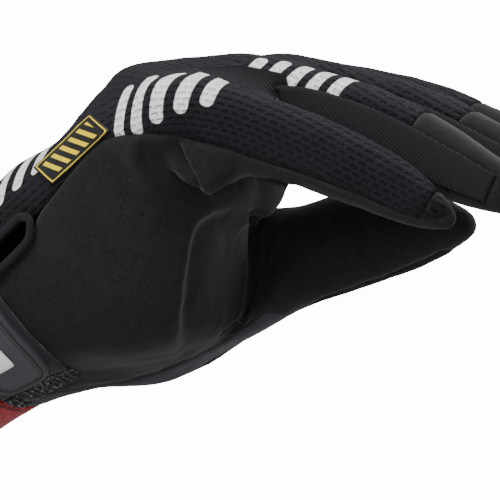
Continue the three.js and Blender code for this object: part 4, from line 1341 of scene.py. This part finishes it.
def laid_label(name):
    """A thin label laid on the knit inside its four corners, with its distance from the rim."""
    knit = BVHTree.FromObject(bpy.data.objects["knit_back"], bpy.context.evaluated_depsgraph_get())
    low_a, high_a, high_b, low_b = (Vector(corner) for corner in LABEL_CORNERS)
    steps, rows = LABEL_STEPS
    bm = bmesh.new()
    bmesh.ops.create_grid(bm, x_segments=steps, y_segments=rows, size=0.5)
    layer = bm.verts.layers.float.new("rim")
    shares = {vert: (vert.co.x + 0.5, vert.co.y + 0.5) for vert in bm.verts}
    for vert, (s, t) in shares.items():
        place, normal = struck_by_eye(knit, low_a.lerp(low_b, s).lerp(high_a.lerp(high_b, s), t))[:2]
        if place is None:
            raise RuntimeError("the label misses the knit")
        vert.co = place + normal * LABEL_LIFT
    straightened(bm, 150)
    smoothed(bm, [vert for vert in bm.verts if not vert.is_boundary], 60)
    for vert in bm.verts:
        place, normal = knit.find_nearest(vert.co)[:2]
        vert.co += normal * max(0.0, LABEL_LIFT - (vert.co - place).dot(normal))
    bmesh.ops.recalc_face_normals(bm, faces=bm.faces[:])
    bm.normal_update()
    if sum(face.normal.y for face in bm.faces) > 0:
        bmesh.ops.reverse_faces(bm, faces=bm.faces[:])
        bm.normal_update()

    def corner(s, t):
        return min(shares, key=lambda vert: (Vector(shares[vert]) - Vector((s, t))).length).co

    long_side = (corner(1, 0) - corner(0, 0)).length / MM
    short_side = (corner(0, 1) - corner(0, 0)).length / MM
    for vert, (s, t) in shares.items():
        vert[layer] = min(s * long_side, (1 - s) * long_side, t * short_side, (1 - t) * short_side)
    made = object_from(bm, name)
    modifier = made.modifiers.new("Wall", "SOLIDIFY")
    modifier.thickness = LABEL_WALL
    modifier.offset = 1.0
    applied(made)
    return made


class GLOVE_OT_label(GloveOperator):
    """Makes the side label with its frame and slanted bars"""

    bl_idname = "glove.label"
    bl_label = "Side label"

    def execute(self, context):
        sizes = context.scene.glove_wrist
        label = laid_label("label_ground")
        dressed(label, label_material(sizes), "side_label", slot="label")
        return {"FINISHED"}


class GLOVE_OT_vent(GloveOperator):
    """Makes the bound edge of the wrist vent"""

    bl_idname = "glove.vent"
    bl_label = "Vent binding"

    def execute(self, context):
        colour = shade(context.scene.glove_cloth.stretch_colour, 0.7)
        binding = soft_solid("vent_binding", "vent_binding_tape", 2, 0.3)
        dressed(binding, stretch_material("binding_tape", colour, 0.05, 0.5), "vent_binding", slot="stretch")
        return {"FINISHED"}


# Lamps round the glove: name, place, width in metres and share of the key lamp's power
LAMPS = (
    ("key", (-0.35, -0.55, 0.62), 0.45, 1.0),
    ("top", (0.15, 0.1, 0.95), 0.5, 0.6),
    ("edge", (0.7, 0.25, 0.35), 0.4, 0.35),
    ("fill", (0.25, -0.7, -0.05), 0.5, 0.25),
)
LAMP_TARGET = Vector((0.07, -0.03, 0.03))


def soft_light(name, place, width, power):
    data = bpy.data.lights.new(name, "AREA")
    data.shape = "SQUARE"
    data.size = width
    data.energy = power
    made = bpy.data.objects.new(name, data)
    made.location = place
    made.rotation_euler = (LAMP_TARGET - Vector(place)).to_track_quat("-Z", "Y").to_euler()
    bpy.context.scene.collection.objects.link(made)


class GLOVE_OT_stage(GloveOperator):
    """Makes the pale floor under the glove, the pale room round it, the soft lights and the camera"""

    bl_idname = "glove.stage"
    bl_label = "Stage"

    def execute(self, context):
        scene = context.scene
        stage = scene.glove_stage
        bm = bmesh.new()
        bmesh.ops.create_grid(bm, x_segments=1, y_segments=1, size=5.0)
        bmesh.ops.translate(bm, verts=bm.verts[:], vec=(0, 0, stage.floor_height))
        floor = object_from(bm, "floor")
        made = new_material("pale_floor", 0.9, 0, (1, 1, 1), 0.1)
        weaver = Weaver(made)
        path = weaver.node("ShaderNodeLightPath")
        weaver.finish(stage.floor_colour)
        made.node_tree.nodes["Principled BSDF"].inputs["Emission Color"].default_value = (1, 1, 1, 1)
        glow = weaver.math("MULTIPLY", path.outputs["Is Camera Ray"], stage.room_seen)
        weaver.link(glow, weaver.surface.inputs["Emission Strength"])
        floor.data.materials.append(made)
        world = bpy.data.worlds.new("pale_room")
        world.use_nodes = True
        nodes = world.node_tree.nodes
        links = world.node_tree.links
        path = nodes.new("ShaderNodeLightPath")
        seen = nodes.new("ShaderNodeMapRange")
        seen.inputs["To Min"].default_value = stage.room_light
        seen.inputs["To Max"].default_value = stage.room_seen
        links.new(path.outputs["Is Camera Ray"], seen.inputs["Value"])
        links.new(seen.outputs["Result"], nodes["Background"].inputs["Strength"])
        nodes["Background"].inputs["Color"].default_value = (1, 1, 1, 1)
        scene.world = world
        for name, place, width, share in LAMPS:
            soft_light(name, place, width, stage.key_light * share)
        data = bpy.data.cameras.new("eye")
        data.lens = EYE_LENS
        data.sensor_width = EYE_SENSOR
        data.clip_start = 0.01
        eye = bpy.data.objects.new("eye", data)
        eye.location = EYE
        eye.rotation_euler = (math.radians(90), 0, 0)
        scene.collection.objects.link(eye)
        scene.camera = eye
        return {"FINISHED"}


STEPS = (
    GLOVE_OT_back,
    GLOVE_OT_palm,
    GLOVE_OT_strips,
    GLOVE_OT_cuff,
    GLOVE_OT_strap,
    GLOVE_OT_label,
    GLOVE_OT_vent,
    GLOVE_OT_stage,
)


class GLOVE_PT_parts(bpy.types.Panel):
    """Lists the glove's operators and sizes"""

    bl_idname = "GLOVE_PT_parts"
    bl_label = "Work glove"
    bl_space_type = "VIEW_3D"
    bl_region_type = "UI"
    bl_category = "Glove"

    def draw(self, context):
        layout = self.layout
        for step in STEPS:
            layout.operator(step.bl_idname)
        for group in (context.scene.glove_cloth, context.scene.glove_wrist, context.scene.glove_stage):
            box = layout.box()
            for key in group.bl_rna.properties.keys():
                if key not in ("rna_type", "name"):
                    box.prop(group, key)


CLASSES = (ClothSizes, WristSizes, StageSizes, *STEPS, GLOVE_PT_parts)


def register():
    for made in CLASSES:
        bpy.utils.register_class(made)
    bpy.types.Scene.glove_cloth = PointerProperty(type=ClothSizes)
    bpy.types.Scene.glove_wrist = PointerProperty(type=WristSizes)
    bpy.types.Scene.glove_stage = PointerProperty(type=StageSizes)


def unregister():
    del bpy.types.Scene.glove_stage
    del bpy.types.Scene.glove_wrist
    del bpy.types.Scene.glove_cloth
    for made in reversed(CLASSES):
        bpy.utils.unregister_class(made)


def main():
    register()
    bpy.ops.glove.stage()
    bpy.ops.glove.back()
    bpy.ops.glove.palm()
    bpy.ops.glove.strips()
    bpy.ops.glove.cuff()
    bpy.ops.glove.strap()
    bpy.ops.glove.label()
    bpy.ops.glove.vent()


if __name__ == "__main__":
    main()
